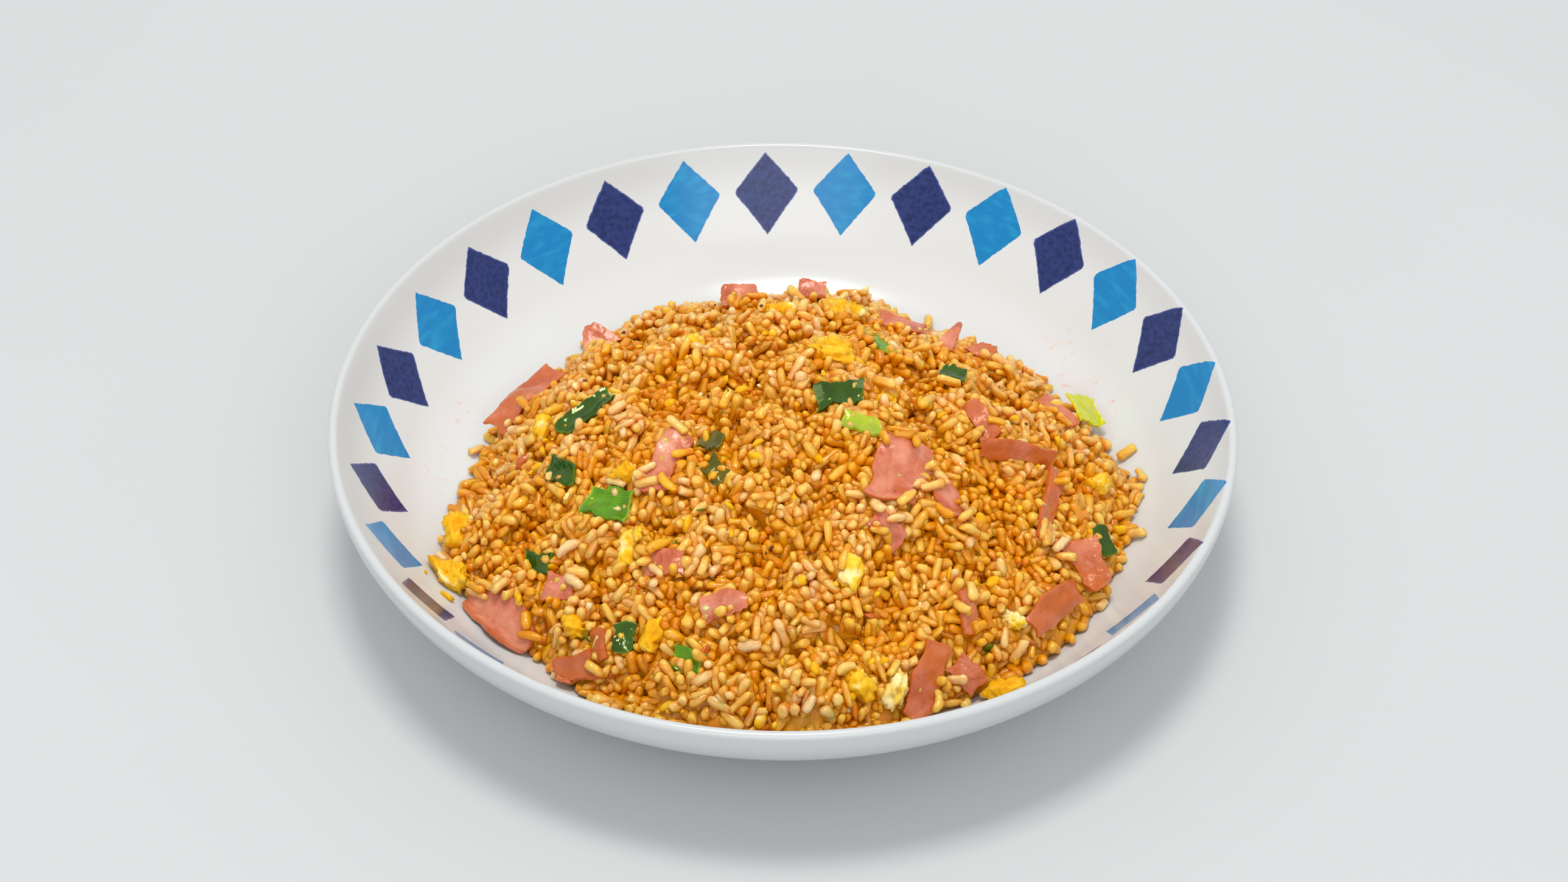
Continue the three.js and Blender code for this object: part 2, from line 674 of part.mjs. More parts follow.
function fromSolid(solid) {
  const mesh = solid.getMesh();
  const geometry = new THREE.BufferGeometry();
  geometry.setAttribute("position", new THREE.BufferAttribute(mesh.vertProperties, mesh.numProp));
  geometry.setIndex(new THREE.BufferAttribute(mesh.triVerts, 1));
  return geometry;
}

// The largest closed body of a solid that falls in several
function largestBody(solid) {
  return solid.decompose().reduce((most, body) => (body.volume() > most.volume() ? body : most));
}

function makeHeap() {
  return fromSolid(largestBody(toSolid(riceBlock()).intersect(toSolid(plateRoom()))));
}

const plate = new THREE.Group();

function addPiece(name, geometry, colour, roughness) {
  const mesh = new THREE.Mesh(geometry, material(colour, roughness));
  mesh.name = name;
  plate.add(mesh);
}

function numbered(kind, index) {
  return `${kind}_${String(index + 1).padStart(2, "0")}`;
}

addPiece("dish", makePlate(), COLOURS.glaze, 0.2);
HAM_PIECES.forEach((piece, k) => {
  const sheet = makeSheet({ ...piece, seed: k + 1 }, HAM_THICKNESS);
  addPiece(numbered("ham", k), sheet, COLOURS.ham, 0.4);
});
SCALLION_PIECES.forEach((piece, k) => {
  const sheet = makeSheet({ ...piece, seed: k + 0.5 }, SCALLION_THICKNESS);
  addPiece(numbered("scallion", k), sheet, COLOURS[piece.colour], 0.35);
});
EGG_PIECES.forEach((piece, k) => {
  addPiece(numbered("egg", k), makeEgg(piece), piece.pale ? COLOURS.pale : COLOURS.yolk, 0.45);
});
addPiece("rice_heap", makeHeap(), COLOURS.rice, 0.4);

export default plate;
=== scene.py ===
"""Fried rice with ham, egg and scallion, heaped in a deep glazed plate with a ring of diamonds.

Lengths are millimetres while a shape is worked out, and become metres where its mesh is made.
"""

import sys

import logging
import math
from dataclasses import dataclass, field
from enum import Enum
from typing import Optional, Sequence, Union

import bpy
import numpy as np
from mathutils import Matrix, Vector


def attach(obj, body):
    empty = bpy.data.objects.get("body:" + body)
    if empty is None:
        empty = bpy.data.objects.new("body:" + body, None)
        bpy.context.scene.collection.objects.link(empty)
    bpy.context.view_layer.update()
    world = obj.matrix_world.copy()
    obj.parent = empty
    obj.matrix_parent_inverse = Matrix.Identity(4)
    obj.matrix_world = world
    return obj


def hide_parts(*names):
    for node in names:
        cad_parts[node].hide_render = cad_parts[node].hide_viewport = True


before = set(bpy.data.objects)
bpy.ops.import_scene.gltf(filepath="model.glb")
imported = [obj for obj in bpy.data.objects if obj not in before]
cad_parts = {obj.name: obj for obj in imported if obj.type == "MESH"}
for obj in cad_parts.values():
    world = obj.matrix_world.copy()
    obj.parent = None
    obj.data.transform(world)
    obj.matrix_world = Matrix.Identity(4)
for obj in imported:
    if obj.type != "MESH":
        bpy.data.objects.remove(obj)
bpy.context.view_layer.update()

MM = 0.001
ROOT = "root"
log = logging.getLogger("fried_rice_plate")

Number = Union[float, "Value"]
Colour = tuple[float, float, float]


def from_srgb(red: int, green: int, blue: int) -> Colour:
    """Turns a colour as a screen shows it into the linear colour of a shader.

    Args:
        red, green, blue: the three channels, from 0 to 255.

    Returns:
        The linear red, green and blue.
    """
    channels = []
    for level in (red, green, blue):
        share = level / 255
        channels.append(share / 12.92 if share <= 0.04045 else ((share + 0.055) / 1.055) ** 2.4)
    return tuple(channels)


def select_only(piece: bpy.types.Object) -> None:
    """Makes a piece the only selected object, and the active one.

    Args:
        piece: the object to work on.
    """
    bpy.ops.object.select_all(action="DESELECT")
    piece.select_set(True)
    bpy.context.view_layer.objects.active = piece


def coordinates(piece: bpy.types.Object) -> np.ndarray:
    """Reads the vertices of a piece.

    Args:
        piece: a mesh object.

    Returns:
        An array with a row for each vertex.
    """
    flat = np.zeros(len(piece.data.vertices) * 3, np.float32)
    piece.data.vertices.foreach_get("co", flat)
    return flat.reshape(-1, 3).astype(float)


def move_vertices(piece: bpy.types.Object, points: np.ndarray) -> None:
    """Puts the vertices of a piece where millimetre points say.

    Args:
        piece: a mesh object.
        points: an array with a row for each vertex.
    """
    piece.data.vertices.foreach_set("co", (points * MM).astype(np.float32).ravel())
    piece.data.update()


def apply_modifier(piece: bpy.types.Object, kind: str, **settings: object) -> None:
    """Adds a modifier to a piece and applies it.

    Args:
        piece: the mesh object.
        kind: the modifier's type.
        settings: the modifier's own values.
    """
    select_only(piece)
    modifier = piece.modifiers.new(kind.title(), kind)
    for name, value in settings.items():
        setattr(modifier, name, value)
    bpy.ops.object.modifier_apply(modifier=modifier.name)


def add_object(name: str, data: bpy.types.ID) -> bpy.types.Object:
    """Puts a mesh, lamp or camera in the scene.

    Args:
        name: the object's name.
        data: what it shows.

    Returns:
        The new object.
    """
    made = bpy.data.objects.new(name, data)
    bpy.context.scene.collection.objects.link(made)
    return made


def put_numbers(mesh: bpy.types.Mesh, key: str, values: np.ndarray) -> None:
    """Gives a mesh a number at each vertex.

    Args:
        mesh: the mesh.
        key: the attribute's name.
        values: a number for each vertex.
    """
    attribute = mesh.attributes.new(key, "FLOAT", "POINT")
    attribute.data.foreach_set("value", values.astype(np.float32).ravel())


def dress(piece: bpy.types.Object, name: str, slot: str, *nodes: str) -> bpy.types.Object:
    """Names a finished piece, fixes it to the plate's body and hides the solids that it stands for.

    Args:
        piece: the finished object.
        name: its name.
        slot: not used.
        nodes: names of the solids that the piece stands for.

    Returns:
        The same object.
    """
    piece.name = name
    piece.data.name = name
    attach(piece, ROOT)
    if nodes:
        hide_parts(*nodes)
    return piece


def waves(points: np.ndarray, length: float, seed: int) -> np.ndarray:
    """A smooth uneven field, made of crossing waves.

    Args:
        points: an array of places.
        length: the rough size of one swell, in the units of the places.
        seed: picks the field.

    Returns:
        A value from about -1 to 1 for each place.
    """
    draw = np.random.default_rng(seed)
    total = np.zeros(len(points))
    count = 7
    for _ in range(count):
        heading = draw.normal(size=points.shape[1])
        heading /= np.linalg.norm(heading)
        pitch = 2 * math.pi / (length * draw.uniform(0.75, 1.6))
        total += np.sin(points @ heading * pitch + draw.uniform(0, 2 * math.pi))
    return total / math.sqrt(count)


class Value:
    """A number on a shader socket, so that shader maths reads as Python."""

    def __init__(self, shader: "Shader", socket: bpy.types.NodeSocket) -> None:
        """Keeps the shader and the socket."""
        self.shader = shader
        self.socket = socket

    def maths(self, operation: str, *others: Number, first: bool = True) -> "Value":
        """Adds one Math node.

        Args:
            operation: the node's operation.
            others: its other numbers.
            first: whether this value is the node's first number.

        Returns:
            The node's result.
        """
        inputs = [self, *others] if first else [*others, self]
        node = self.shader.node("ShaderNodeMath", {"operation": operation}, dict(enumerate(inputs)))
        return Value(self.shader, node.outputs[0])

    def __add__(self, other: Number) -> "Value":
        """Sum."""
        return self.maths("ADD", other)

    def __radd__(self, other: Number) -> "Value":
        """Sum with a number on the left."""
        return self.maths("ADD", other)

    def __sub__(self, other: Number) -> "Value":
        """Difference."""
        return self.maths("SUBTRACT", other)

    def __rsub__(self, other: Number) -> "Value":
        """Difference from a number on the left."""
        return self.maths("SUBTRACT", other, first=False)

    def __mul__(self, other: Number) -> "Value":
        """Product."""
        return self.maths("MULTIPLY", other)

    def __rmul__(self, other: Number) -> "Value":
        """Product with a number on the left."""
        return self.maths("MULTIPLY", other)

    def __truediv__(self, other: Number) -> "Value":
        """Quotient."""
        return self.maths("DIVIDE", other)

    def __gt__(self, other: Number) -> "Value":
        """1 where this is the larger, and 0 elsewhere."""
        return self.maths("GREATER_THAN", other)

    def __abs__(self) -> "Value":
        """Size without the sign."""
        return self.maths("ABSOLUTE")

    def at_most(self, other: Number) -> "Value":
        """The smaller of two numbers."""
        return self.maths("MINIMUM", other)

    def at_least(self, other: Number) -> "Value":
        """The larger of two numbers."""
        return self.maths("MAXIMUM", other)

    def ease(self, low: float, high: float) -> "Value":
        """Climbs smoothly from 0 at low to 1 at high, or falls where low is the larger.

        Args:
            low: where the result is 0.
            high: where the result is 1.

        Returns:
            A number from 0 to 1.
        """
        bottom, top = min(low, high), max(low, high)
        ends = (0.0, 1.0) if low < high else (1.0, 0.0)
        settings = {"interpolation_type": "SMOOTHSTEP"}
        inputs = {"Value": self, 1: bottom, 2: top, 3: ends[0], 4: ends[1]}
        node = self.shader.node("ShaderNodeMapRange", settings, inputs)
        return Value(self.shader, node.outputs[0])


class Shader:
    """One material and its nodes."""

    def __init__(self, name: str) -> None:
        """Makes an empty material with its Principled shader."""
        self.material = bpy.data.materials.new(name)
        self.material.use_nodes = True
        self.tree = self.material.node_tree
        self.surface = self.tree.nodes["Principled BSDF"]

    def node(self, kind: str, settings: dict, inputs: dict) -> bpy.types.Node:
        """Adds a node, sets it up and feeds it.

        Args:
            kind: the node's type.
            settings: its own values, set first.
            inputs: the values or links of its sockets, by name or number.

        Returns:
            The new node.
        """
        made = self.tree.nodes.new(kind)
        for name, value in settings.items():
            if name == "stops":
                self.set_stops(made.color_ramp, value)
            else:
                setattr(made, name, value)
        for key, value in inputs.items():
            self.feed(made.inputs[key], value)
        return made

    def feed(self, socket: bpy.types.NodeSocket, value: object) -> None:
        """Links or sets one socket.

        Args:
            socket: the socket to feed.
            value: a Value, another socket, a number, a colour or a vector.
        """
        if isinstance(value, Value):
            self.tree.links.new(value.socket, socket)
        elif isinstance(value, bpy.types.NodeSocket):
            self.tree.links.new(value, socket)
        elif isinstance(value, tuple) and socket.type == "RGBA":
            socket.default_value = (*value, 1.0)
        else:
            socket.default_value = value

    @staticmethod
    def set_stops(ramp: bpy.types.ColorRamp, stops: Sequence[tuple[float, Colour]]) -> None:
        """Gives a colour ramp its stops.

        Args:
            ramp: the ramp.
            stops: place and colour of each stop.
        """
        while len(ramp.elements) < len(stops):
            ramp.elements.new(1.0)
        for element, (place, colour) in zip(ramp.elements, stops):
            element.position = place
            element.color = (*colour, 1.0)

    def place(self) -> bpy.types.NodeSocket:
        """The Object coordinates."""
        return self.node("ShaderNodeTexCoord", {}, {}).outputs["Object"]

    def parts(self, vector: bpy.types.NodeSocket) -> list[Value]:
        """Splits a vector.

        Args:
            vector: the vector's socket.

        Returns:
            Its three numbers.
        """
        node = self.node("ShaderNodeSeparateXYZ", {}, {0: vector})
        return [Value(self, out) for out in node.outputs]

    def noise(self, scale: float, detail: float = 2.0, stretch: Optional[tuple] = None) -> Value:
        """Noise over the Object coordinates.

        Args:
            scale: swells in a metre.
            detail: octaves.
            stretch: scale along each axis, where the noise is drawn out.

        Returns:
            The noise, from 0 to 1.
        """
        vector = self.place()
        if stretch is not None:
            vector = self.node("ShaderNodeMapping", {}, {"Vector": vector, "Scale": stretch}).outputs[0]
        inputs = {"Vector": vector, "Scale": scale, "Detail": detail}
        return Value(self, self.node("ShaderNodeTexNoise", {}, inputs).outputs[0])

    def attribute(self, name: str) -> Value:
        """A number that the mesh carries at its vertices.

        Args:
            name: the attribute's name.

        Returns:
            The attribute's value.
        """
        node = self.node("ShaderNodeAttribute", {"attribute_name": name}, {})
        return Value(self, node.outputs["Fac"])

    def ramp(self, value: Value, stops: Sequence[tuple[float, Colour]]) -> bpy.types.NodeSocket:
        """Colours by a number.

        Args:
            value: the number, from 0 to 1.
            stops: place and colour of each stop.

        Returns:
            The colour's socket.
        """
        return self.node("ShaderNodeValToRGB", {"stops": stops}, {0: value}).outputs[0]

    def mix(self, share: Number, under: object, over: object) -> bpy.types.NodeSocket:
        """Mixes two colours.

        Args:
            share: how much of the second colour shows.
            under: the first colour.
            over: the second colour.

        Returns:
            The mixed colour's socket.
        """
        settings = {"data_type": "RGBA", "blend_type": "MIX"}
        return self.node("ShaderNodeMix", settings, {0: share, 6: under, 7: over}).outputs[2]

    def bump(self, height: Value, depth: float, strength: float = 1.0) -> None:
        """Raises the surface by a height.

        Args:
            height: the height, from 0 to 1.
            depth: what a height of 1 is, in metres.
            strength: how much of it shows.
        """
        inputs = {"Strength": strength, "Distance": depth, "Height": height}
        self.feed(self.surface.inputs["Normal"], self.node("ShaderNodeBump", {}, inputs).outputs[0])

    def set(self, **values: object) -> None:
        """Feeds sockets of the Principled shader, named with _ for a space.

        Args:
            values: the value or link of each socket.
        """
        for name, value in values.items():
            self.feed(self.surface.inputs[name.replace("_", " ")], value)


@dataclass(frozen=True)
class GlazeFinish:
    """White stoneware glaze with a ring of brushed diamonds on the inner wall, and painted shade that greys
    it towards the lip.
    """

    count: int = 30
    first_turn: float = 9.924
    half_turn: float = 4.967
    outer_radius: float = 123.26
    corner_radius: float = 116.75
    inner_radius: float = 108.59
    shift: tuple[float, float] = (1.877, 0.227)
    face_slope: float = 1.272
    face_height: float = 16.3
    # painted shade: the glaze greys towards the plate's edge, over the lip and the top of both walls
    lip_shade_start: float = 114.0
    lip_shade_end: float = 125.5
    white: Colour = from_srgb(218, 221, 220)
    # grey of the painted shade towards the lip
    rim: Colour = from_srgb(188, 188, 187)
    navy: Colour = from_srgb(38, 52, 112)
    navy_deep: Colour = from_srgb(18, 32, 86)
    blue: Colour = from_srgb(0, 124, 186)
    blue_pale: Colour = from_srgb(30, 152, 200)
    halo: Colour = from_srgb(120, 132, 190)
    oil: Colour = from_srgb(236, 150, 84)

    def build(self) -> bpy.types.Material:
        """Makes the material.

        Returns:
            The material.
        """
        shader = Shader("plate_glaze")
        x, y, z = shader.parts(shader.place())
        across = x / MM - self.shift[0]
        along = y / MM - self.shift[1]
        radius = (across * across + along * along).maths("SQRT")
        step = 360 / self.count
        ragged = (shader.noise(620.0, 3.0) - 0.5) * 0.34
        turn = (along.maths("ARCTAN2", across) * (180 / math.pi) - self.first_turn) / step
        number = turn.maths("ROUND")
        aside = abs((turn - number) * step + ragged) / self.half_turn
        height = radius - self.corner_radius + (shader.noise(540.0, 3.0) - 0.5) * 0.5
        outwards = height / (self.outer_radius - self.corner_radius)
        inwards = height / (self.inner_radius - self.corner_radius)
        reach = aside + outwards.at_least(inwards)
        reach = reach.at_least(aside * 1.045)
        inner_face = z / MM - (radius - self.inner_radius) * self.face_slope > self.face_height
        diamond = reach.ease(1.012, 0.985) * inner_face
        edge = reach.ease(0.93, 1.0) * 0.55
        odd = (number * 0.5).maths("FRACT").ease(0.2, 0.3)

        streaks = shader.noise(210.0, 4.0, (1.0, 0.34, 2.6))
        mottle = shader.noise(700.0, 3.0)
        light = shader.mix(streaks.ease(0.42, 0.78) * 0.8, self.blue, self.blue_pale)
        dark = shader.mix(mottle.ease(0.35, 0.7), self.navy, self.navy_deep)
        paint = shader.mix(odd, light, dark)
        paint = shader.mix(edge * odd, paint, self.halo)
        glaze = shader.mix(self.smears(shader, x, y, radius, inner_face), self.white, self.oil)
        # painted shade greys the glaze towards the plate's edge
        glaze = shader.mix(radius.ease(self.lip_shade_start, self.lip_shade_end) * 0.7, glaze, self.rim)
        colour = shader.mix(diamond, glaze, paint)
        shader.set(Base_Color=colour, Roughness=shader.noise(45.0, 2.0) * 0.06 + 0.19)
        shader.set(Coat_Weight=0.06, Coat_Roughness=0.06, IOR=1.38)
        shader.bump(shader.noise(28.0, 2.0), 0.0006, 0.35)
        return shader.material

    @staticmethod
    def smears(shader: Shader, x: Value, y: Value, radius: Value, inner_face: Value) -> Value:
        """Thin oil that the rice left on the glaze, close to its edge.

        Args:
            shader: the shader to add to.
            x, y: the place, in metres.
            radius: the distance from the middle, in millimetres.
            inner_face: 1 on the inner face.

        Returns:
            How much of the oil shows.
        """
        left = (x / MM).ease(-60, -86) * (y / MM).ease(-22, 6) * (y / MM).ease(58, 22)
        right = (x / MM).ease(62, 84) * (y / MM).ease(8, 30) * (y / MM).ease(86, 62)
        spots = shader.noise(300.0, 5.0, (1.0, 1.6, 1.0)).ease(0.60, 0.70)
        film = shader.noise(70.0, 3.0).ease(0.44, 0.66)
        near = radius.ease(113, 97)
        return (left + right) * near * inner_face * (spots * 0.62 + film * 0.08) * film.at_least(0.25)


@dataclass(frozen=True)
class RiceFinish:
    """Oily grains of rice with painted shade: amber where they lie deep, golden to pale where they stand
    out.
    """

    name: str
    shift: float
    stops: tuple = (
        (0.0, from_srgb(198, 88, 0)),
        (0.25, from_srgb(222, 146, 0)),
        (0.5, from_srgb(232, 174, 28)),
        (0.75, from_srgb(235, 190, 86)),
        (1.0, from_srgb(240, 206, 156)),
    )
    sauce: Colour = from_srgb(224, 128, 0)
    char: Colour = from_srgb(140, 70, 4)

    def build(self) -> bpy.types.Material:
        """Makes the material.

        Returns:
            The material.
        """
        shader = Shader(self.name)
        tint = shader.attribute("tint")
        depth = shader.attribute("depth")
        patch = shader.noise(48.0, 2.0)
        # painted shade: a low depth number, where a grain lies deep, picks the darker amber end of the
        # ramp; tint and patch add the grains' own tone
        spread = depth * 0.74 + tint * 0.14 + patch * 0.5 + (self.shift - 0.2)
        grain = shader.ramp(spread.at_least(0.0).at_most(1.0), self.stops)
        sauce_and_shade = shader.attribute("sauce_and_shade")
        # sauce gathered where the grains touch, with painted shade between them, and random patches of
        # sauce
        film = (sauce_and_shade * 0.8 + shader.noise(300.0, 3.0).ease(0.5, 0.7) * 0.3).at_most(0.9)
        grain = shader.mix(film, grain, self.sauce)
        grain = shader.mix(shader.noise(150.0, 4.0).ease(0.69, 0.77) * 0.45, grain, self.char)
        shader.set(Base_Color=grain, Roughness=shader.noise(450.0, 2.0) * 0.2 + 0.08)
        shader.set(IOR=1.5, Coat_Weight=0.3, Coat_Roughness=0.03, Specular_Tint=(1.0, 0.84, 0.56))
        shader.set(Subsurface_Weight=0.65, Subsurface_Radius=(1.0, 0.5, 0.12), Subsurface_Scale=3.0 * MM)
        shader.bump(shader.noise(420.0, 4.0), 0.0008, 0.7)
        return shader.material


@dataclass(frozen=True)
class HamFinish:
    """Fried ham: salmon meat with pale streaks and browned margins."""

    name: str = "fried_ham"
    meat: Colour = from_srgb(206, 114, 84)
    pale: Colour = from_srgb(224, 148, 116)
    deep: Colour = from_srgb(182, 80, 44)
    brown: Colour = from_srgb(196, 94, 18)
    fried: float = 0.0

    def build(self) -> bpy.types.Material:
        """Makes the material.

        Returns:
            The material.
        """
        shader = Shader(self.name)
        grain = shader.noise(130.0, 4.0)
        meat = shader.ramp(grain.ease(0.28, 0.74), [(0.0, self.deep), (0.45, self.meat), (1.0, self.pale)])
        fibres = shader.noise(520.0, 3.0, (1.0, 0.4, 1.0)).ease(0.5, 0.75) * 0.35
        meat = shader.mix(fibres, meat, self.pale)
        uv = shader.node("ShaderNodeUVMap", {}, {}).outputs[0]
        s, t, _ = shader.parts(uv)
        rim = abs(s * 2 - 1).at_least(abs(t * 2 - 1))
        margin = (rim + (shader.noise(260.0, 3.0) - 0.5) * 0.4).ease(0.86, 1.08)
        blotches = shader.noise(95.0, 3.0).ease(0.56 - self.fried * 0.2, 0.74) * (0.45 + self.fried * 0.4)
        browned = (margin * 0.85 + blotches + self.fried * 0.3).at_most(0.92)
        shader.set(Base_Color=shader.mix(browned, meat, self.brown))
        shader.set(Roughness=shader.noise(300.0, 2.0) * 0.26 + 0.06)
        shader.set(IOR=1.6, Coat_Weight=0.3, Coat_Roughness=0.12, Specular_Tint=(1.0, 0.78, 0.6))
        shader.set(Subsurface_Weight=0.35, Subsurface_Radius=(1.0, 0.4, 0.2), Subsurface_Scale=2.0 * MM)
        shader.bump(shader.noise(300.0, 6.0), 0.0009, 0.9)
        return shader.material


@dataclass(frozen=True)
class LeafFinish:
    """Scallion leaf with veins along its length and a paler cut edge."""

    name: str
    green: Colour
    shade: Colour
    cut: Colour

    def build(self) -> bpy.types.Material:
        """Makes the material.

        Returns:
            The material.
        """
        shader = Shader(self.name)
        uv = shader.node("ShaderNodeUVMap", {}, {}).outputs[0]
        s, t, _ = shader.parts(uv)
        wander = (shader.noise(160.0, 2.0) - 0.5) * 0.5
        veins = ((t * 90 + wander * 9).maths("SINE") * 0.5 + 0.5) * 0.4
        blotch = shader.noise(170.0, 3.0).ease(0.4, 0.66) * 0.7
        colour = shader.mix(blotch, self.green, self.shade)
        colour = shader.mix(veins * 0.4, colour, self.cut)
        end = abs(s * 2 - 1).ease(0.9, 1.02) * 0.7
        shader.set(Base_Color=shader.mix(end, colour, self.cut), Roughness=0.1)
        shader.set(IOR=1.6, Specular_Tint=(0.9, 1.0, 0.5))
        shader.set(Subsurface_Weight=0.12, Subsurface_Radius=(0.5, 1.0, 0.2), Subsurface_Scale=1.5 * MM)
        shader.bump(veins * 0.15 + shader.noise(200.0, 3.0) * 2.0, 0.0002, 0.6)
        return shader.material


@dataclass(frozen=True)
class EggFinish:
    """Scrambled egg, from set white to deep yolk."""

    name: str
    yolk: Colour
    light: Colour
    white: Colour
    whiteness: float
    brown: Colour = from_srgb(206, 128, 20)

    def build(self) -> bpy.types.Material:
        """Makes the material.

        Returns:
            The material.
        """
        shader = Shader(self.name)
        swirl = shader.noise(150.0, 3.0).ease(0.35, 0.68)
        colour = shader.mix(swirl, self.yolk, self.light)
        low, high = 0.58 - self.whiteness * 0.25, 0.7 - self.whiteness * 0.2
        set_white = shader.noise(150.0, 4.0).ease(low, high)
        colour = shader.mix(set_white, colour, self.white)
        browned = shader.noise(210.0, 4.0).ease(0.66, 0.78) * 0.5
        shader.set(Base_Color=shader.mix(browned, colour, self.brown))
        shader.set(Roughness=shader.noise(350.0, 2.0) * 0.25 + 0.26)
        shader.set(IOR=1.4, Specular_Tint=(1.0, 0.88, 0.4))
        shader.set(Subsurface_Weight=0.3, Subsurface_Radius=(1.0, 0.7, 0.2), Subsurface_Scale=2.0 * MM)
        shader.bump(shader.noise(600.0, 4.0), 0.0004, 0.7)
        return shader.material


@dataclass(frozen=True)
class PlainFinish:
    """A matt surface with faint unevenness, for the floor and for toasted specks."""

    name: str
    colour: Colour
    other: Colour
    scale: float
    roughness: float

    def build(self) -> bpy.types.Material:
        """Makes the material.

        Returns:
            The material.
        """
        shader = Shader(self.name)
        patches = shader.noise(self.scale, 3.0).ease(0.3, 0.7)
        shader.set(Base_Color=shader.mix(patches, self.colour, self.other))
        shader.set(Roughness=self.roughness)
        return shader.material


class Tone(Enum):
    """Colours of scallion, as cut from the leaf's tip to its base."""

    DARK = LeafFinish(
        "scallion_dark", from_srgb(30, 72, 2), from_srgb(6, 34, 0), from_srgb(96, 130, 20))
    BRIGHT = LeafFinish(
        "scallion_bright", from_srgb(84, 146, 2), from_srgb(30, 88, 2), from_srgb(170, 196, 50))
    LIGHT = LeafFinish(
        "scallion_light", from_srgb(164, 184, 14), from_srgb(116, 150, 6), from_srgb(236, 222, 120))
    YELLOW = LeafFinish(
        "scallion_yellow", from_srgb(206, 206, 4), from_srgb(170, 180, 4), from_srgb(230, 220, 60))
    OLIVE = LeafFinish(
        "scallion_olive", from_srgb(88, 80, 6), from_srgb(46, 46, 4), from_srgb(140, 112, 16))


SLOTS = {
    Tone.DARK: "scallion_dark",
    Tone.BRIGHT: "scallion_green",
    Tone.LIGHT: "scallion_pale",
    Tone.YELLOW: "scallion_pale",
    Tone.OLIVE: "scallion_dark",
}


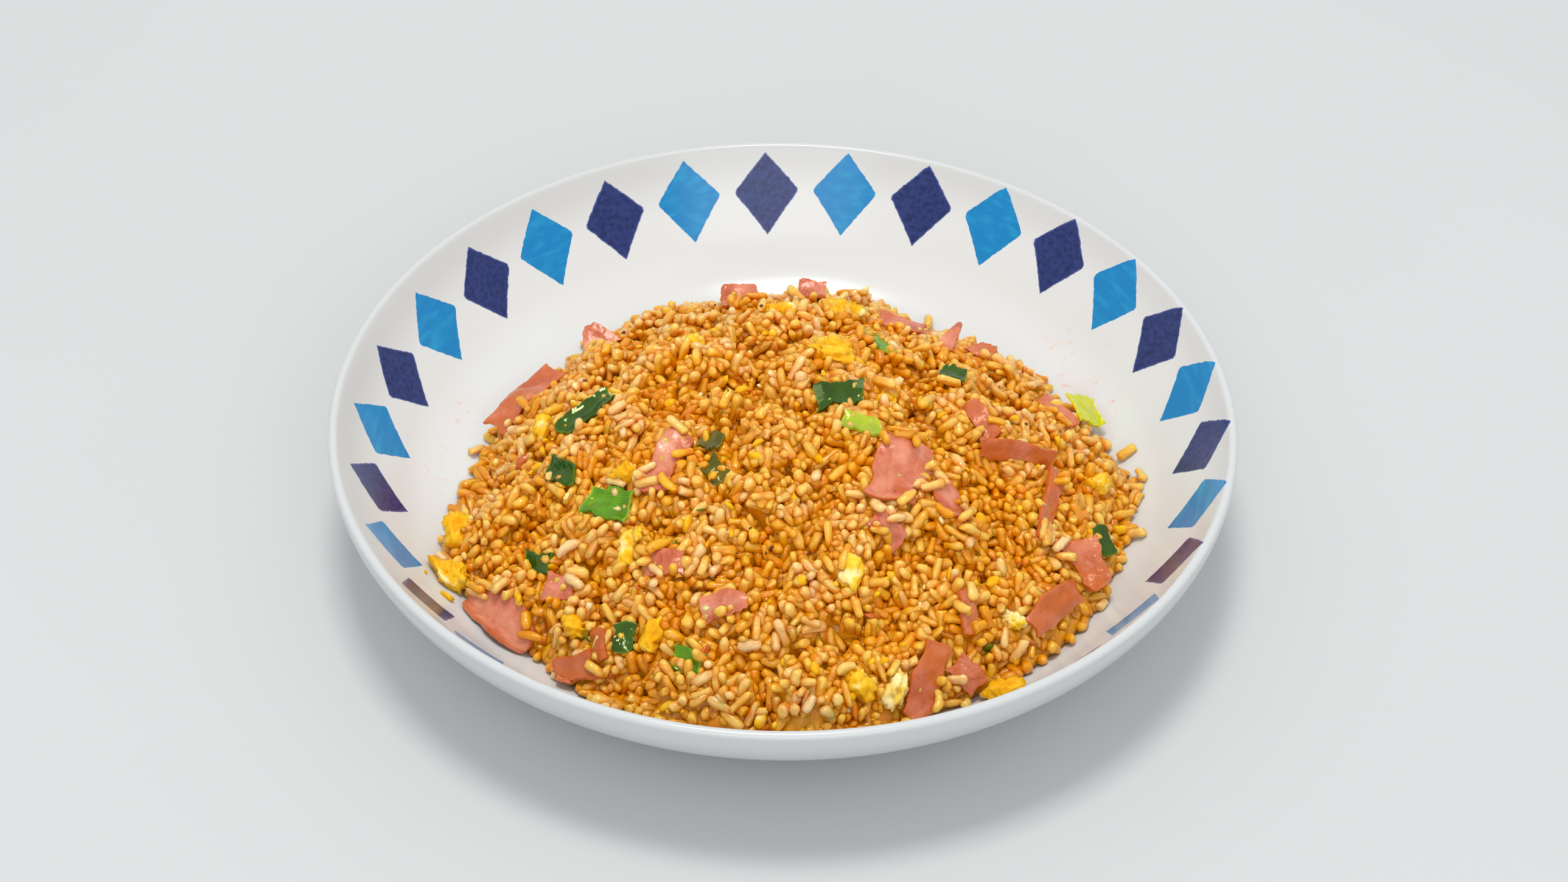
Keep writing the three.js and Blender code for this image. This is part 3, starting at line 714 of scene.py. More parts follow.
@dataclass
class Plate:
    """The deep plate, turned from one profile."""

    radius: float = 127.0
    lip_radius: float = 1.5
    lip_height: float = 40.5
    floor_height: float = 5.5
    floor_radius: float = 81.0
    bend_radius: float = 35.0
    bend_angle: float = 52.0
    wall_bend_radius: float = 235.0
    wall_top_angle: float = 58.2
    bulge_width: float = 69.4
    bulge_height: float = 33.1
    bulge_angle: float = 24.0
    underside_height: float = 1.9
    underside_bend_radius: float = 36.0
    foot_outer_radius: float = 70.0
    foot_inner_radius: float = 65.5
    foot_recess_height: float = 2.2
    foot_round: float = 0.7
    foot_run: float = 1.1
    recess_run: float = 0.8
    smooth_angle: float = 50.0
    steps: int = 180

    def __post_init__(self) -> None:
        """Works out where the wall's long curve starts and its middle."""
        slope = math.radians(self.bend_angle)
        self.bend_end_r = self.floor_radius + self.bend_radius * math.sin(slope)
        self.bend_end_z = self.floor_height + self.bend_radius * (1 - math.cos(slope))
        self.wall_r = self.bend_end_r - self.wall_bend_radius * math.sin(slope)
        self.wall_z = self.bend_end_z + self.wall_bend_radius * math.cos(slope)

    def inside(self, r: np.ndarray) -> np.ndarray:
        """Height of the inner face.

        Args:
            r: distances from the plate's middle.

        Returns:
            The height at each distance.
        """
        out = np.clip(r - self.floor_radius, 0, self.bend_radius)
        bend = self.floor_height + self.bend_radius - np.sqrt(self.bend_radius**2 - out**2)
        far = np.minimum(r - self.wall_r, self.wall_bend_radius)
        wall = self.wall_z - np.sqrt(self.wall_bend_radius**2 - far**2)
        return np.where(r <= self.bend_end_r, bend, wall)

    @staticmethod
    def arc(
        centre: tuple, radius: float, start: float, stop: float, steps: int
    ) -> list[tuple[float, float]]:
        """Points on a round stretch of the profile.

        Args:
            centre: its middle, as distance and height.
            radius: its radius.
            start, stop: directions from the middle, in degrees.
            steps: how many stretches.

        Returns:
            Distance and height of each point.
        """
        points = []
        for turn in np.linspace(math.radians(start), math.radians(stop), steps + 1):
            points.append((centre[0] + radius * math.cos(turn), centre[1] + radius * math.sin(turn)))
        return points

    def profile(self) -> list[tuple[float, float]]:
        """The profile, from the middle of the floor over the lip to the middle of the underside.

        Returns:
            Distance and height of each point.
        """
        down = -90.0
        inner = [(0.0, self.floor_height), (self.floor_radius * 0.5, self.floor_height)]
        inner += self.arc(
            (self.floor_radius, self.floor_height + self.bend_radius),
            self.bend_radius, down, down + self.bend_angle, 10)
        inner += self.arc(
            (self.wall_r, self.wall_z), self.wall_bend_radius,
            down + self.bend_angle, down + self.wall_top_angle, 6)[1:]
        lip = self.arc(
            (self.radius - self.lip_radius, self.lip_height), self.lip_radius,
            self.wall_top_angle + 90, 0, 9)
        bulge = []
        for turn in np.linspace(0, math.radians(self.bulge_angle), 9)[1:]:
            bulge.append((
                self.radius - self.bulge_width * (1 - math.cos(turn)),
                self.lip_height - self.bulge_height * math.sin(turn)))
        end = math.radians(self.bulge_angle)
        slope = math.atan2(self.bulge_height * math.cos(end), self.bulge_width * math.sin(end))
        bend = self.underside_bend_radius
        top = self.underside_height + bend * (1 - math.cos(slope))
        middle = bulge[-1][0] - (bulge[-1][1] - top) / math.tan(slope) - bend * math.sin(slope)
        under = self.arc(
            (middle, self.underside_height + bend), bend, math.degrees(slope) + down, down, 9)
        foot = [(self.foot_outer_radius + self.foot_run, self.underside_height)]
        foot += self.arc(
            (self.foot_outer_radius - self.foot_round, self.foot_round), self.foot_round, 0, down, 4)
        foot += self.arc(
            (self.foot_inner_radius + self.foot_round, self.foot_round), self.foot_round, down, 2 * down, 4)
        recess = [
            (self.foot_inner_radius - self.recess_run, self.foot_recess_height),
            (0.0, self.foot_recess_height)]
        return inner + lip + bulge + under + foot + recess

    def build(self) -> bpy.types.Object:
        """Draws the profile point by point and spins it.

        Returns:
            The plate.
        """
        points = self.profile()
        bpy.ops.object.select_all(action="DESELECT")
        bpy.ops.mesh.primitive_plane_add(size=MM)
        piece = bpy.context.object
        bpy.ops.object.mode_set(mode="EDIT")
        bpy.ops.mesh.select_all(action="SELECT")
        bpy.ops.mesh.merge(type="CENTER")
        bpy.ops.transform.translate(value=(points[0][0] * MM, 0, points[0][1] * MM))
        for (r0, z0), (r1, z1) in zip(points, points[1:]):
            shift = ((r1 - r0) * MM, 0, (z1 - z0) * MM)
            bpy.ops.mesh.extrude_region_move(TRANSFORM_OT_translate={"value": shift})
        bpy.ops.mesh.select_all(action="SELECT")
        bpy.ops.mesh.spin(steps=self.steps, angle=2 * math.pi, center=(0, 0, 0), axis=(0, 0, 1))
        bpy.ops.mesh.select_all(action="SELECT")
        bpy.ops.mesh.remove_doubles(threshold=0.02 * MM)
        bpy.ops.mesh.normals_make_consistent(inside=False)
        bpy.ops.object.mode_set(mode="OBJECT")
        bpy.ops.object.shade_smooth_by_angle(angle=math.radians(self.smooth_angle))
        piece.data.materials.append(GlazeFinish().build())
        return dress(piece, "plate_glazed", "glaze", "dish")


@dataclass
class Heap:
    """The form of the rice: a low dome with clumps and hollows, which the toppings lie on."""

    plate: Plate
    radius: float = 95.9
    top: float = 51.5
    shift_y: float = -5.0
    edge_fade: float = 12.0
    slope_step: float = 1.5
    rest_step: float = 2.0
    outline_waves: tuple = (
        (1, 6.2, -69), (3, 1.7, -50), (4, 1.65, 22), (5, 1.15, -82), (6, 0.75, 134), (9, 1.0, -4))
    mounds: tuple = (
        (-28, 10, 14, 3.0), (-12, 29, 12, 2.2), (4, 7, 11, 2.8), (-15, -7, 9, 2.2), (1, -22, 10, 2.0),
        (16, -28, 10, 1.6), (10, -50, 12, 3.2), (-9, -45, 9, 1.8), (-53, -14, 12, 2.4), (26, 4, 10, 2.0),
        (49, -22, 10, 2.6), (64, -6, 12, 2.0), (46, -48, 12, 3.0), (22, -53, 8, 2.0), (2, -72, 9, 2.0),
        (-61, -63, 11, 2.2), (-31, -67, 10, 2.4), (41, -66, 10, 2.0), (-72, -36, 11, 1.6),
        (-2, -90, 12, 1.4), (88, -8, 9, 1.6), (-40, 44, 12, 1.6), (30, 42, 12, 1.2))
    hollows: tuple = (
        (-2, 18, 6, 2.4), (-22, -17, 8, 3.0), (8, -13, 7, 2.6), (-20, -66, 7, 3.0), (-10, -64, 7, 2.8),
        (33, -53, 7, 3.0), (41, -28, 7, 2.6), (60, -21, 6, 3.2), (-50, -52, 7, 3.0), (-67, -27, 6, 2.4),
        (65, -52, 8, 3.0), (-36, -84, 8, 2.2), (14, -77, 7, 2.6), (-33, -43, 6, 2.2), (46, 38, 8, 2.2),
        (30, -80, 8, 2.0))
    swells: tuple = ((23, 17, 0.55), (19, 74, 0.5), (14, 131, 0.45), (11, 48, 0.35))

    def outline(self, direction: np.ndarray) -> np.ndarray:
        """Distance from the plate's middle to the edge of the rice.

        Args:
            direction: directions round the plate, in radians.

        Returns:
            The distance in each direction.
        """
        edge = np.full_like(direction, self.radius)
        for count, size, turn in self.outline_waves:
            edge = edge + size * np.cos(count * direction - math.radians(turn))
        return edge

    def reach(self, x: np.ndarray, y: np.ndarray) -> tuple[np.ndarray, np.ndarray]:
        """How far out a place lies, from 0 under the top to 1 at the edge of the rice.

        Args:
            x, y: the places.

        Returns:
            The share for each place, and the distance to the edge in its direction.
        """
        edge = self.outline(np.arctan2(y, x))
        inward = np.maximum(0, 1 - np.hypot(x, y) / edge)
        return np.hypot(x, y - self.shift_y * inward) / edge, edge

    def core(self, x: np.ndarray, y: np.ndarray) -> np.ndarray:
        """Height of the bare heap, which the toppings lie on.

        Args:
            x, y: the places.

        Returns:
            The height at each place.
        """
        reach, edge = self.reach(x, y)
        foot = self.plate.inside(edge)
        dome = foot + (self.top - foot) * (1 - reach**2)
        relief = np.zeros_like(dome)
        for sign, spots in ((1, self.mounds), (-1, self.hollows)):
            for sx, sy, radius, size in spots:
                inside = np.maximum(0, 1 - ((x - sx) ** 2 + (y - sy) ** 2) / radius**2)
                relief += sign * size * inside**2
        for length, turn, size in self.swells:
            along = x * math.cos(math.radians(turn)) + y * math.sin(math.radians(turn))
            relief += size * np.sin(2 * math.pi * along / length)
        fade = np.clip((1 - reach) * edge / self.edge_fade, 0, 1)
        return dome + relief * fade

    def ground(self, x: np.ndarray, y: np.ndarray) -> np.ndarray:
        """Height of what a topping lies on: the bare heap, or the plate beside it.

        Args:
            x, y: the places.

        Returns:
            The height at each place.
        """
        return np.maximum(self.core(x, y), self.plate.inside(np.hypot(x, y)))

    def slopes(self, x: np.ndarray, y: np.ndarray) -> tuple[np.ndarray, np.ndarray]:
        """How steep the bare heap is.

        Args:
            x, y: the places.

        Returns:
            The rise along x and along y at each place.
        """
        step = self.slope_step
        along_x = (self.core(x + step, y) - self.core(x - step, y)) / (2 * step)
        along_y = (self.core(x, y + step) - self.core(x, y - step)) / (2 * step)
        return along_x, along_y

    def rest(self, at: tuple[float, float], turn: float) -> "Rest":
        """The plane that touches the ground at a place.

        Args:
            at: the place.
            turn: the heading of a piece that lies there, in degrees.

        Returns:
            The plane with its directions.
        """
        step = self.rest_step
        x = np.array([at[0], at[0] + step, at[0] - step, at[0], at[0]], float)
        y = np.array([at[1], at[1], at[1], at[1] + step, at[1] - step], float)
        height = self.ground(x, y)
        slope_x = (height[1] - height[2]) / (2 * step)
        slope_y = (height[3] - height[4]) / (2 * step)
        up = Vector((-slope_x, -slope_y, 1)).normalized()
        heading = math.radians(turn)
        rise = slope_x * math.cos(heading) + slope_y * math.sin(heading)
        along = Vector((math.cos(heading), math.sin(heading), rise)).normalized()
        across = up.cross(along)
        point = np.array([at[0], at[1], height[0]])
        return Rest(point, np.array(up), np.array(along), np.array(across), slope_x, slope_y)


@dataclass(frozen=True)
class Rest:
    """Where a topping lies: a point, and the directions of the plane there."""

    point: np.ndarray
    up: np.ndarray
    along: np.ndarray
    across: np.ndarray
    slope_x: float
    slope_y: float


@dataclass(frozen=True)
class Sheet:
    """A thin piece: where it lies, how it is cut and how it bends."""

    at: tuple[float, float]
    turn: float
    size: tuple[float, float]
    tilt: float = 0.0
    taper: float = 0.0
    peak: float = 0.0
    wave: float = 0.0
    curl: float = 0.0
    lift: float = 0.0
    rounded: bool = False
    tone: Optional[Tone] = None


@dataclass
class SheetCut:
    """Shapes one thin piece over the heap."""

    sheet: Sheet
    seed: float
    thickness: float
    heap: Heap
    cells: tuple[int, int] = (34, 18)
    rest_height: float = 0.55
    coarse_rag: float = 0.09
    fine_rag: float = 0.03
    end_bow: float = 0.06
    round_ends: float = 1.7
    curl_share: float = 0.6
    nick: float = 0.14
    dimple: float = 0.16
    fine_dimple: float = 0.035
    soft_edge: float = 0.22
    margin: float = 0.49
    obstacle_span: float = 0.48
    obstacle_step: float = 1.6

    def __post_init__(self) -> None:
        """Finds the plane that the piece lies on."""
        self.rest = self.heap.rest(self.sheet.at, self.sheet.turn)

    def points(self, s: np.ndarray, t: np.ndarray) -> np.ndarray:
        """Places on the middle of the sheet.

        Args:
            s: shares along the piece, from -0.5 to 0.5.
            t: shares across it.

        Returns:
            A row for each place.
        """
        sheet, rest, seed = self.sheet, self.rest, self.seed
        if sheet.rounded:
            narrowing = np.sqrt(1 - (self.round_ends * s) ** 2)
        else:
            narrowing = 1 - sheet.taper * (s + 0.5)
        coarse = self.coarse_rag * np.sin(9 * s + seed * 5)
        fine = self.fine_rag * np.sin(23 * s + seed * 11)
        bow = 1 - self.end_bow * np.cos(5 * t + seed * 3)
        u = s * sheet.size[0] * (1 - sheet.peak * (t + 0.5)) * bow
        v = t * sheet.size[1] * narrowing * (1 + coarse + fine)
        lean = math.radians(sheet.tilt)
        rise = v * math.sin(lean) + sheet.size[1] * 0.5 * math.sin(abs(lean))
        ripple = sheet.wave * (1 + np.sin(7 * s + 2.4 * t + seed * 7)) * 0.5
        swell = ripple + sheet.curl * (2 * t) ** 2 * self.curl_share
        places = rest.point + u[:, None] * rest.along + (v * math.cos(lean))[:, None] * rest.across
        plane = rest.point[2] + rest.slope_x * (places[:, 0] - sheet.at[0])
        plane = plane + rest.slope_y * (places[:, 1] - sheet.at[1])
        lift = swell + sheet.lift + self.rest_height + self.thickness / 2
        places[:, 2] += self.heap.ground(places[:, 0], places[:, 1]) - plane + lift / rest.up[2]
        return places + rise[:, None] * rest.up

    def build(self, name: str, slot: str, node: str, finish: bpy.types.Material) -> bpy.types.Object:
        """Bends a grid to the piece's form, and gives it its thickness and soft edges.

        Args:
            name: the piece's name.
            slot: not used.
            node: the solid that it stands for.
            finish: its material.

        Returns:
            The piece.
        """
        bpy.ops.object.select_all(action="DESELECT")
        columns, rows = self.cells
        bpy.ops.mesh.primitive_grid_add(x_subdivisions=columns, y_subdivisions=rows, size=1)
        piece = bpy.context.object
        flat = coordinates(piece)
        s, t = flat[:, 0], flat[:, 1]
        places = self.points(s, t)
        out = np.maximum(np.abs(s), np.abs(t)) > self.margin
        nicks = waves(places, 1.5, int(self.seed * 10)) * self.nick * out
        pull = places - places.mean(axis=0)
        pull /= np.linalg.norm(pull, axis=1)[:, None] + 1e-9
        dimple = waves(places, 4.0, int(self.seed * 10) + 1) * self.dimple
        dimple += waves(places, 1.3, int(self.seed * 10) + 2) * self.fine_dimple
        move_vertices(piece, places + pull * nicks[:, None] + dimple[:, None] * self.rest.up)
        apply_modifier(piece, "SOLIDIFY", thickness=self.thickness * MM, offset=0.0)
        apply_modifier(
            piece, "BEVEL", width=self.soft_edge * MM, segments=2, limit_method="ANGLE", angle_limit=1.0)
        bpy.ops.object.shade_smooth()
        piece.data.materials.append(finish)
        return dress(piece, name, slot, node)

    def obstacle(self) -> np.ndarray:
        """Points all over the sheet that grains of rice keep clear of.

        Returns:
            Rows of x, y, z and how far out on the sheet the point lies, from 0 to 1.
        """
        counts = [max(3, int(size / self.obstacle_step)) for size in self.sheet.size]
        rows = [np.linspace(-self.obstacle_span, self.obstacle_span, count) for count in counts]
        s, t = np.meshgrid(*rows)
        places = self.points(s.ravel(), t.ravel())
        out = 2 * np.maximum(np.abs(s.ravel()), np.abs(t.ravel()))
        return np.column_stack([places, out])


HAM_THICKNESS = 1.2
HAM = (
    Sheet((-13, 59), 2, (10.5, 7), tilt=40),
    Sheet((8, 58.5), -4, (8, 6.5), tilt=36, curl=1.6),
    Sheet((-54, 48), 28, (13, 9), tilt=52, peak=0.7),
    Sheet((-74.5, 30), 50, (26, 9), tilt=26, wave=0.8),
    Sheet((-31.5, -28.5), 64, (22, 8), wave=0.9, lift=0.7),
    Sheet((34, 45), -12, (14, 6), tilt=22),
    Sheet((47.5, 35), -36, (7.5, 10), tilt=64, peak=0.85),
    Sheet((58.5, 43), -34, (10, 6), tilt=36, peak=0.5),
    Sheet((32, -31), 72, (24, 14), wave=1.4, tilt=8),
    Sheet((45, -38), 112, (13, 8), tilt=12),
    Sheet((27.5, -49), -22, (11, 6), tilt=18),
    Sheet((54.5, -7), -61, (15, 5.5), tilt=34, wave=0.8),
    Sheet((64, -14.5), 17, (23, 6), tilt=42, wave=1.2),
    Sheet((72.5, -28), -104, (24, 9), tilt=-20, taper=0.55),
    Sheet((78.5, 19), -48, (13, 5), tilt=30),
    Sheet((83, -41.5), -58, (15, 11), tilt=30, curl=1.4, taper=0.4),
    Sheet((73.8, -57.5), 48, (20, 8), wave=1.2, tilt=12, lift=0.3),
    Sheet((38.5, -84), 70, (22, 8.5), wave=1.2, tilt=8, lift=0.2),
    Sheet((49.5, -79), -34, (9.2, 7), tilt=16, lift=0.4),
    Sheet((-76.5, -57.5), -47, (24, 15), wave=0.8, rounded=True),
    Sheet((-54.5, -78), -8, (12, 7), curl=1.8, tilt=14, lift=0.2),
    Sheet((-48, -74), -80, (9, 5), tilt=16),
    Sheet((-31, -58.5), -14, (12, 7), tilt=12),
    Sheet((-15, -71), 10, (12, 7), tilt=22),
    Sheet((-59.5, -55.5), -24, (9.5, 7), tilt=12),
    Sheet((50, -65), 96, (12, 6), tilt=14),
)

BROWNED_HAM = (4, 8, 12, 13, 14, 15, 16, 17, 18, 19, 21, 22, 26)

LEAF_CLEAR = np.array([1, 1, 1, 0.74])
SCALLION_THICKNESS = 0.9
SCALLION = (
    Sheet((-55, 0), 38, (17, 8), curl=2.0, tilt=16, tone=Tone.DARK),
    Sheet((-47.5, -37.5), -22, (13, 9), curl=2.4, lift=0.6, tone=Tone.BRIGHT),
    Sheet((15, -7), 20, (15, 6.5), curl=1.2, tilt=20, tone=Tone.DARK),
    Sheet((21.5, -17.5), -4, (11, 6), curl=1.4, lift=0.5, tone=Tone.LIGHT),
    Sheet((26, 26), -62, (15, 5), curl=1.0, tone=Tone.BRIGHT),
    Sheet((48, 14.5), -16, (7, 6), curl=0.8, tilt=18, tone=Tone.DARK),
    Sheet((87.5, 26.5), 40, (14, 10), tilt=24, lift=2.4, tone=Tone.YELLOW),
    Sheet((-60.5, -24), -44, (11, 6), curl=1.6, tilt=18, tone=Tone.DARK),
    Sheet((-66.5, -46.5), -20, (8, 5.5), curl=1.2, tone=Tone.DARK),
    Sheet((-41.5, -74.5), 86, (8, 5.5), tilt=10, lift=0.8, tone=Tone.DARK),
    Sheet((-24.5, -83), -30, (9, 6), curl=1.2, tone=Tone.BRIGHT),
    Sheet((-19.3, -24), -38, (8, 5.5), curl=1.4, tilt=16, tone=Tone.OLIVE),
    Sheet((-18.5, -33.5), -50, (8, 5.5), curl=1.4, tone=Tone.OLIVE),
    Sheet((88.5, -30.5), -66, (9, 5), tilt=22, lift=0.3, tone=Tone.DARK),
)


@dataclass(frozen=True)
class Lump:
    """A piece of scrambled egg: place, heading, and length, width and height."""

    at: tuple[float, float]
    turn: float
    size: tuple[float, float, float]
    pale: bool = False


EGG = (
    Lump((17, 44), -20, (13, 10, 5.0)),
    Lump((13.5, 15), -12, (14, 11, 5.0)),
    Lump((-2.5, 39), 6, (10, 8, 4.2)),
    Lump((-25, 21), -50, (9, 6, 3.8)),
    Lump((-41.5, -29), 20, (9, 6.5, 4.6)),
    Lump((-41, -51), 70, (11, 6.5, 4.4)),
    Lump((-89, -26), 40, (12, 10, 5.6)),
    Lump((-91, -40.5), -36, (13, 8, 5.6)),
    Lump((20.5, -88.5), -52, (11, 7, 4.6)),
    Lump((30, -87), 78, (12, 6, 4.8), pale=True),
    Lump((18, -62.5), 84, (11, 6, 4.6), pale=True),
    Lump((60.5, -84), 22, (11, 6, 4.2)),
    Lump((88.5, -10.5), 10, (8, 6.5, 4.2)),
    Lump((62, -62.5), -28, (7.5, 5, 4.0), pale=True),
    Lump((-66.5, 3), 70, (11, 5.5, 4.0)),
    Lump((-54.5, -66.5), -34, (8.5, 6, 4.2)),
    Lump((-33.5, -75), 66, (10, 6, 4.2)),
)


@dataclass
class Egg:
    """Scrambled egg in lumps and crumbs."""

    heap: Heap
    flat: float = -0.25
    roundness: float = 0.8
    rest_height: float = 0.5
    crumb_places: tuple = (
        (0.5, -39), (-6.5, -28), (30, -4.5), (-11.5, -4), (50.5, -15.5), (23.5, -61), (35, -55),
        (63, -57.5), (77.5, -41), (-25.5, -94), (-18.5, -80), (61, -50.5), (86, -25), (94, -17), (-68, -10))

    def curds(self, ball: np.ndarray, size: Sequence[float], seed: int) -> np.ndarray:
        """Gives a ball the folded, uneven surface of scrambled egg.

        Args:
            ball: points on a ball of radius 1.
            size: length, width and height.
            seed: picks the folds.

        Returns:
            The points, in millimetres.
        """
        scaled = ball * np.array(size) * 0.5
        folds = 1 - np.abs(waves(scaled, 2.8, seed))
        fine = waves(scaled, 1.2, seed + 1)
        swell = 0.82 + 0.25 * folds + 0.05 * fine + 0.18 * waves(scaled, 6.0, seed + 2)
        return scaled * swell[:, None]

    def build_lump(self, lump: Lump, index: int, finish: bpy.types.Material) -> bpy.types.Object:
        """Makes one lump.

        Args:
            lump: where it lies and how large it is.
            index: its number, from 1.
            finish: its material.

        Returns:
            The piece.
        """
        bpy.ops.object.select_all(action="DESELECT")
        bpy.ops.mesh.primitive_ico_sphere_add(subdivisions=4, radius=1)
        piece = bpy.context.object
        shape = self.curds(coordinates(piece), lump.size, index * 10)
        rest = self.heap.rest(lump.at, lump.turn)
        places = rest.point + shape[:, :1] * rest.along + shape[:, 1:2] * rest.across
        places[:, 2] = self.heap.ground(places[:, 0], places[:, 1])
        low = self.flat * lump.size[2] * 0.5
        rise = (np.maximum(shape[:, 2], low) - low) * 2 * self.roundness + self.rest_height
        move_vertices(piece, places + rise[:, None] * rest.up)
        bpy.ops.object.shade_smooth()
        piece.data.materials.append(finish)
        slot = "egg_white" if lump.pale else "egg"
        return dress(piece, f"egg_lump_{index:02d}", slot, f"egg_{index:02d}")

    def obstacle(self, lump: Lump) -> np.ndarray:
        """Points over a lump that grains of rice keep clear of.

        Args:
            lump: the lump.

        Returns:
            Rows of x, y, z and how far out the point lies, from 0 to 1.
        """
        rest = self.heap.rest(lump.at, lump.turn)
        rows = []
        for ring, count in ((0.0, 1), (0.45, 6), (0.85, 12)):
            for turn in np.linspace(0, 2 * math.pi, count, endpoint=False):
                u = ring * math.cos(turn) * lump.size[0] * 0.5
                v = ring * math.sin(turn) * lump.size[1] * 0.5
                rise = lump.size[2] * 0.45 * math.sqrt(1 - ring**2) + self.rest_height
                place = rest.point + u * rest.along + v * rest.across + rise * rest.up
                rows.append([*place, ring])
        return np.array(rows)


@dataclass
class Grains:
    """Places, directions and sizes of all grains, as rods with round ends."""

    start: np.ndarray
    end: np.ndarray
    half: np.ndarray
    girth: np.ndarray

    def keep(self, which: np.ndarray) -> "Grains":
        """The chosen grains.

        Args:
            which: true for each grain to keep.

        Returns:
            Those grains.
        """
        return Grains(self.start[which], self.end[which], self.half[which], self.girth[which])

    def middle(self) -> np.ndarray:
        """The middle of each grain."""
        return (self.start + self.end) / 2

    def heading(self) -> np.ndarray:
        """The direction of each grain."""
        way = self.end - self.start
        return way / (np.linalg.norm(way, axis=1)[:, None] + 1e-9)


@dataclass
class Clumps:
    """Rounded lumps side by side, as sticky rice holds together, with creases between them."""

    spacing: float
    crease: float
    width: float
    rise: float
    seed: int
    span: float = 114.0

    def __post_init__(self) -> None:
        """Scatters the lumps."""
        draw = np.random.default_rng(self.seed)
        rows = int(self.span / self.spacing)
        spots = []
        for j in range(-rows, rows + 1):
            for i in range(-rows, rows + 1):
                x = (i + 0.5 * (j % 2) + draw.uniform(-0.42, 0.42)) * self.spacing
                y = (j * 0.87 + draw.uniform(-0.42, 0.42)) * self.spacing
                spots.append((x, y, draw.uniform(-1, 1)))
        self.spots = np.array(spots)

    def height(self, x: np.ndarray, y: np.ndarray) -> np.ndarray:
        """How far the lumps stand out, or the creases sink in.

        Args:
            x, y: the places.

        Returns:
            The height at each place.
        """
        places = np.column_stack([x, y])
        bent_x = x + waves(places, self.spacing * 1.1, self.seed + 1) * self.spacing * 0.17
        bent_y = y + waves(places, self.spacing * 1.1, self.seed + 2) * self.spacing * 0.17
        gap = np.hypot(bent_x[:, None] - self.spots[:, 0], bent_y[:, None] - self.spots[:, 1])
        nearest = np.argmin(gap, axis=1)
        two = np.partition(gap, 1, axis=1)[:, :2]
        inside = np.sin(np.clip(np.abs(two[:, 1] - two[:, 0]) / self.width, 0, 1) * math.pi / 2)
        return inside * (self.crease + self.rise * self.spots[nearest, 2]) - self.crease


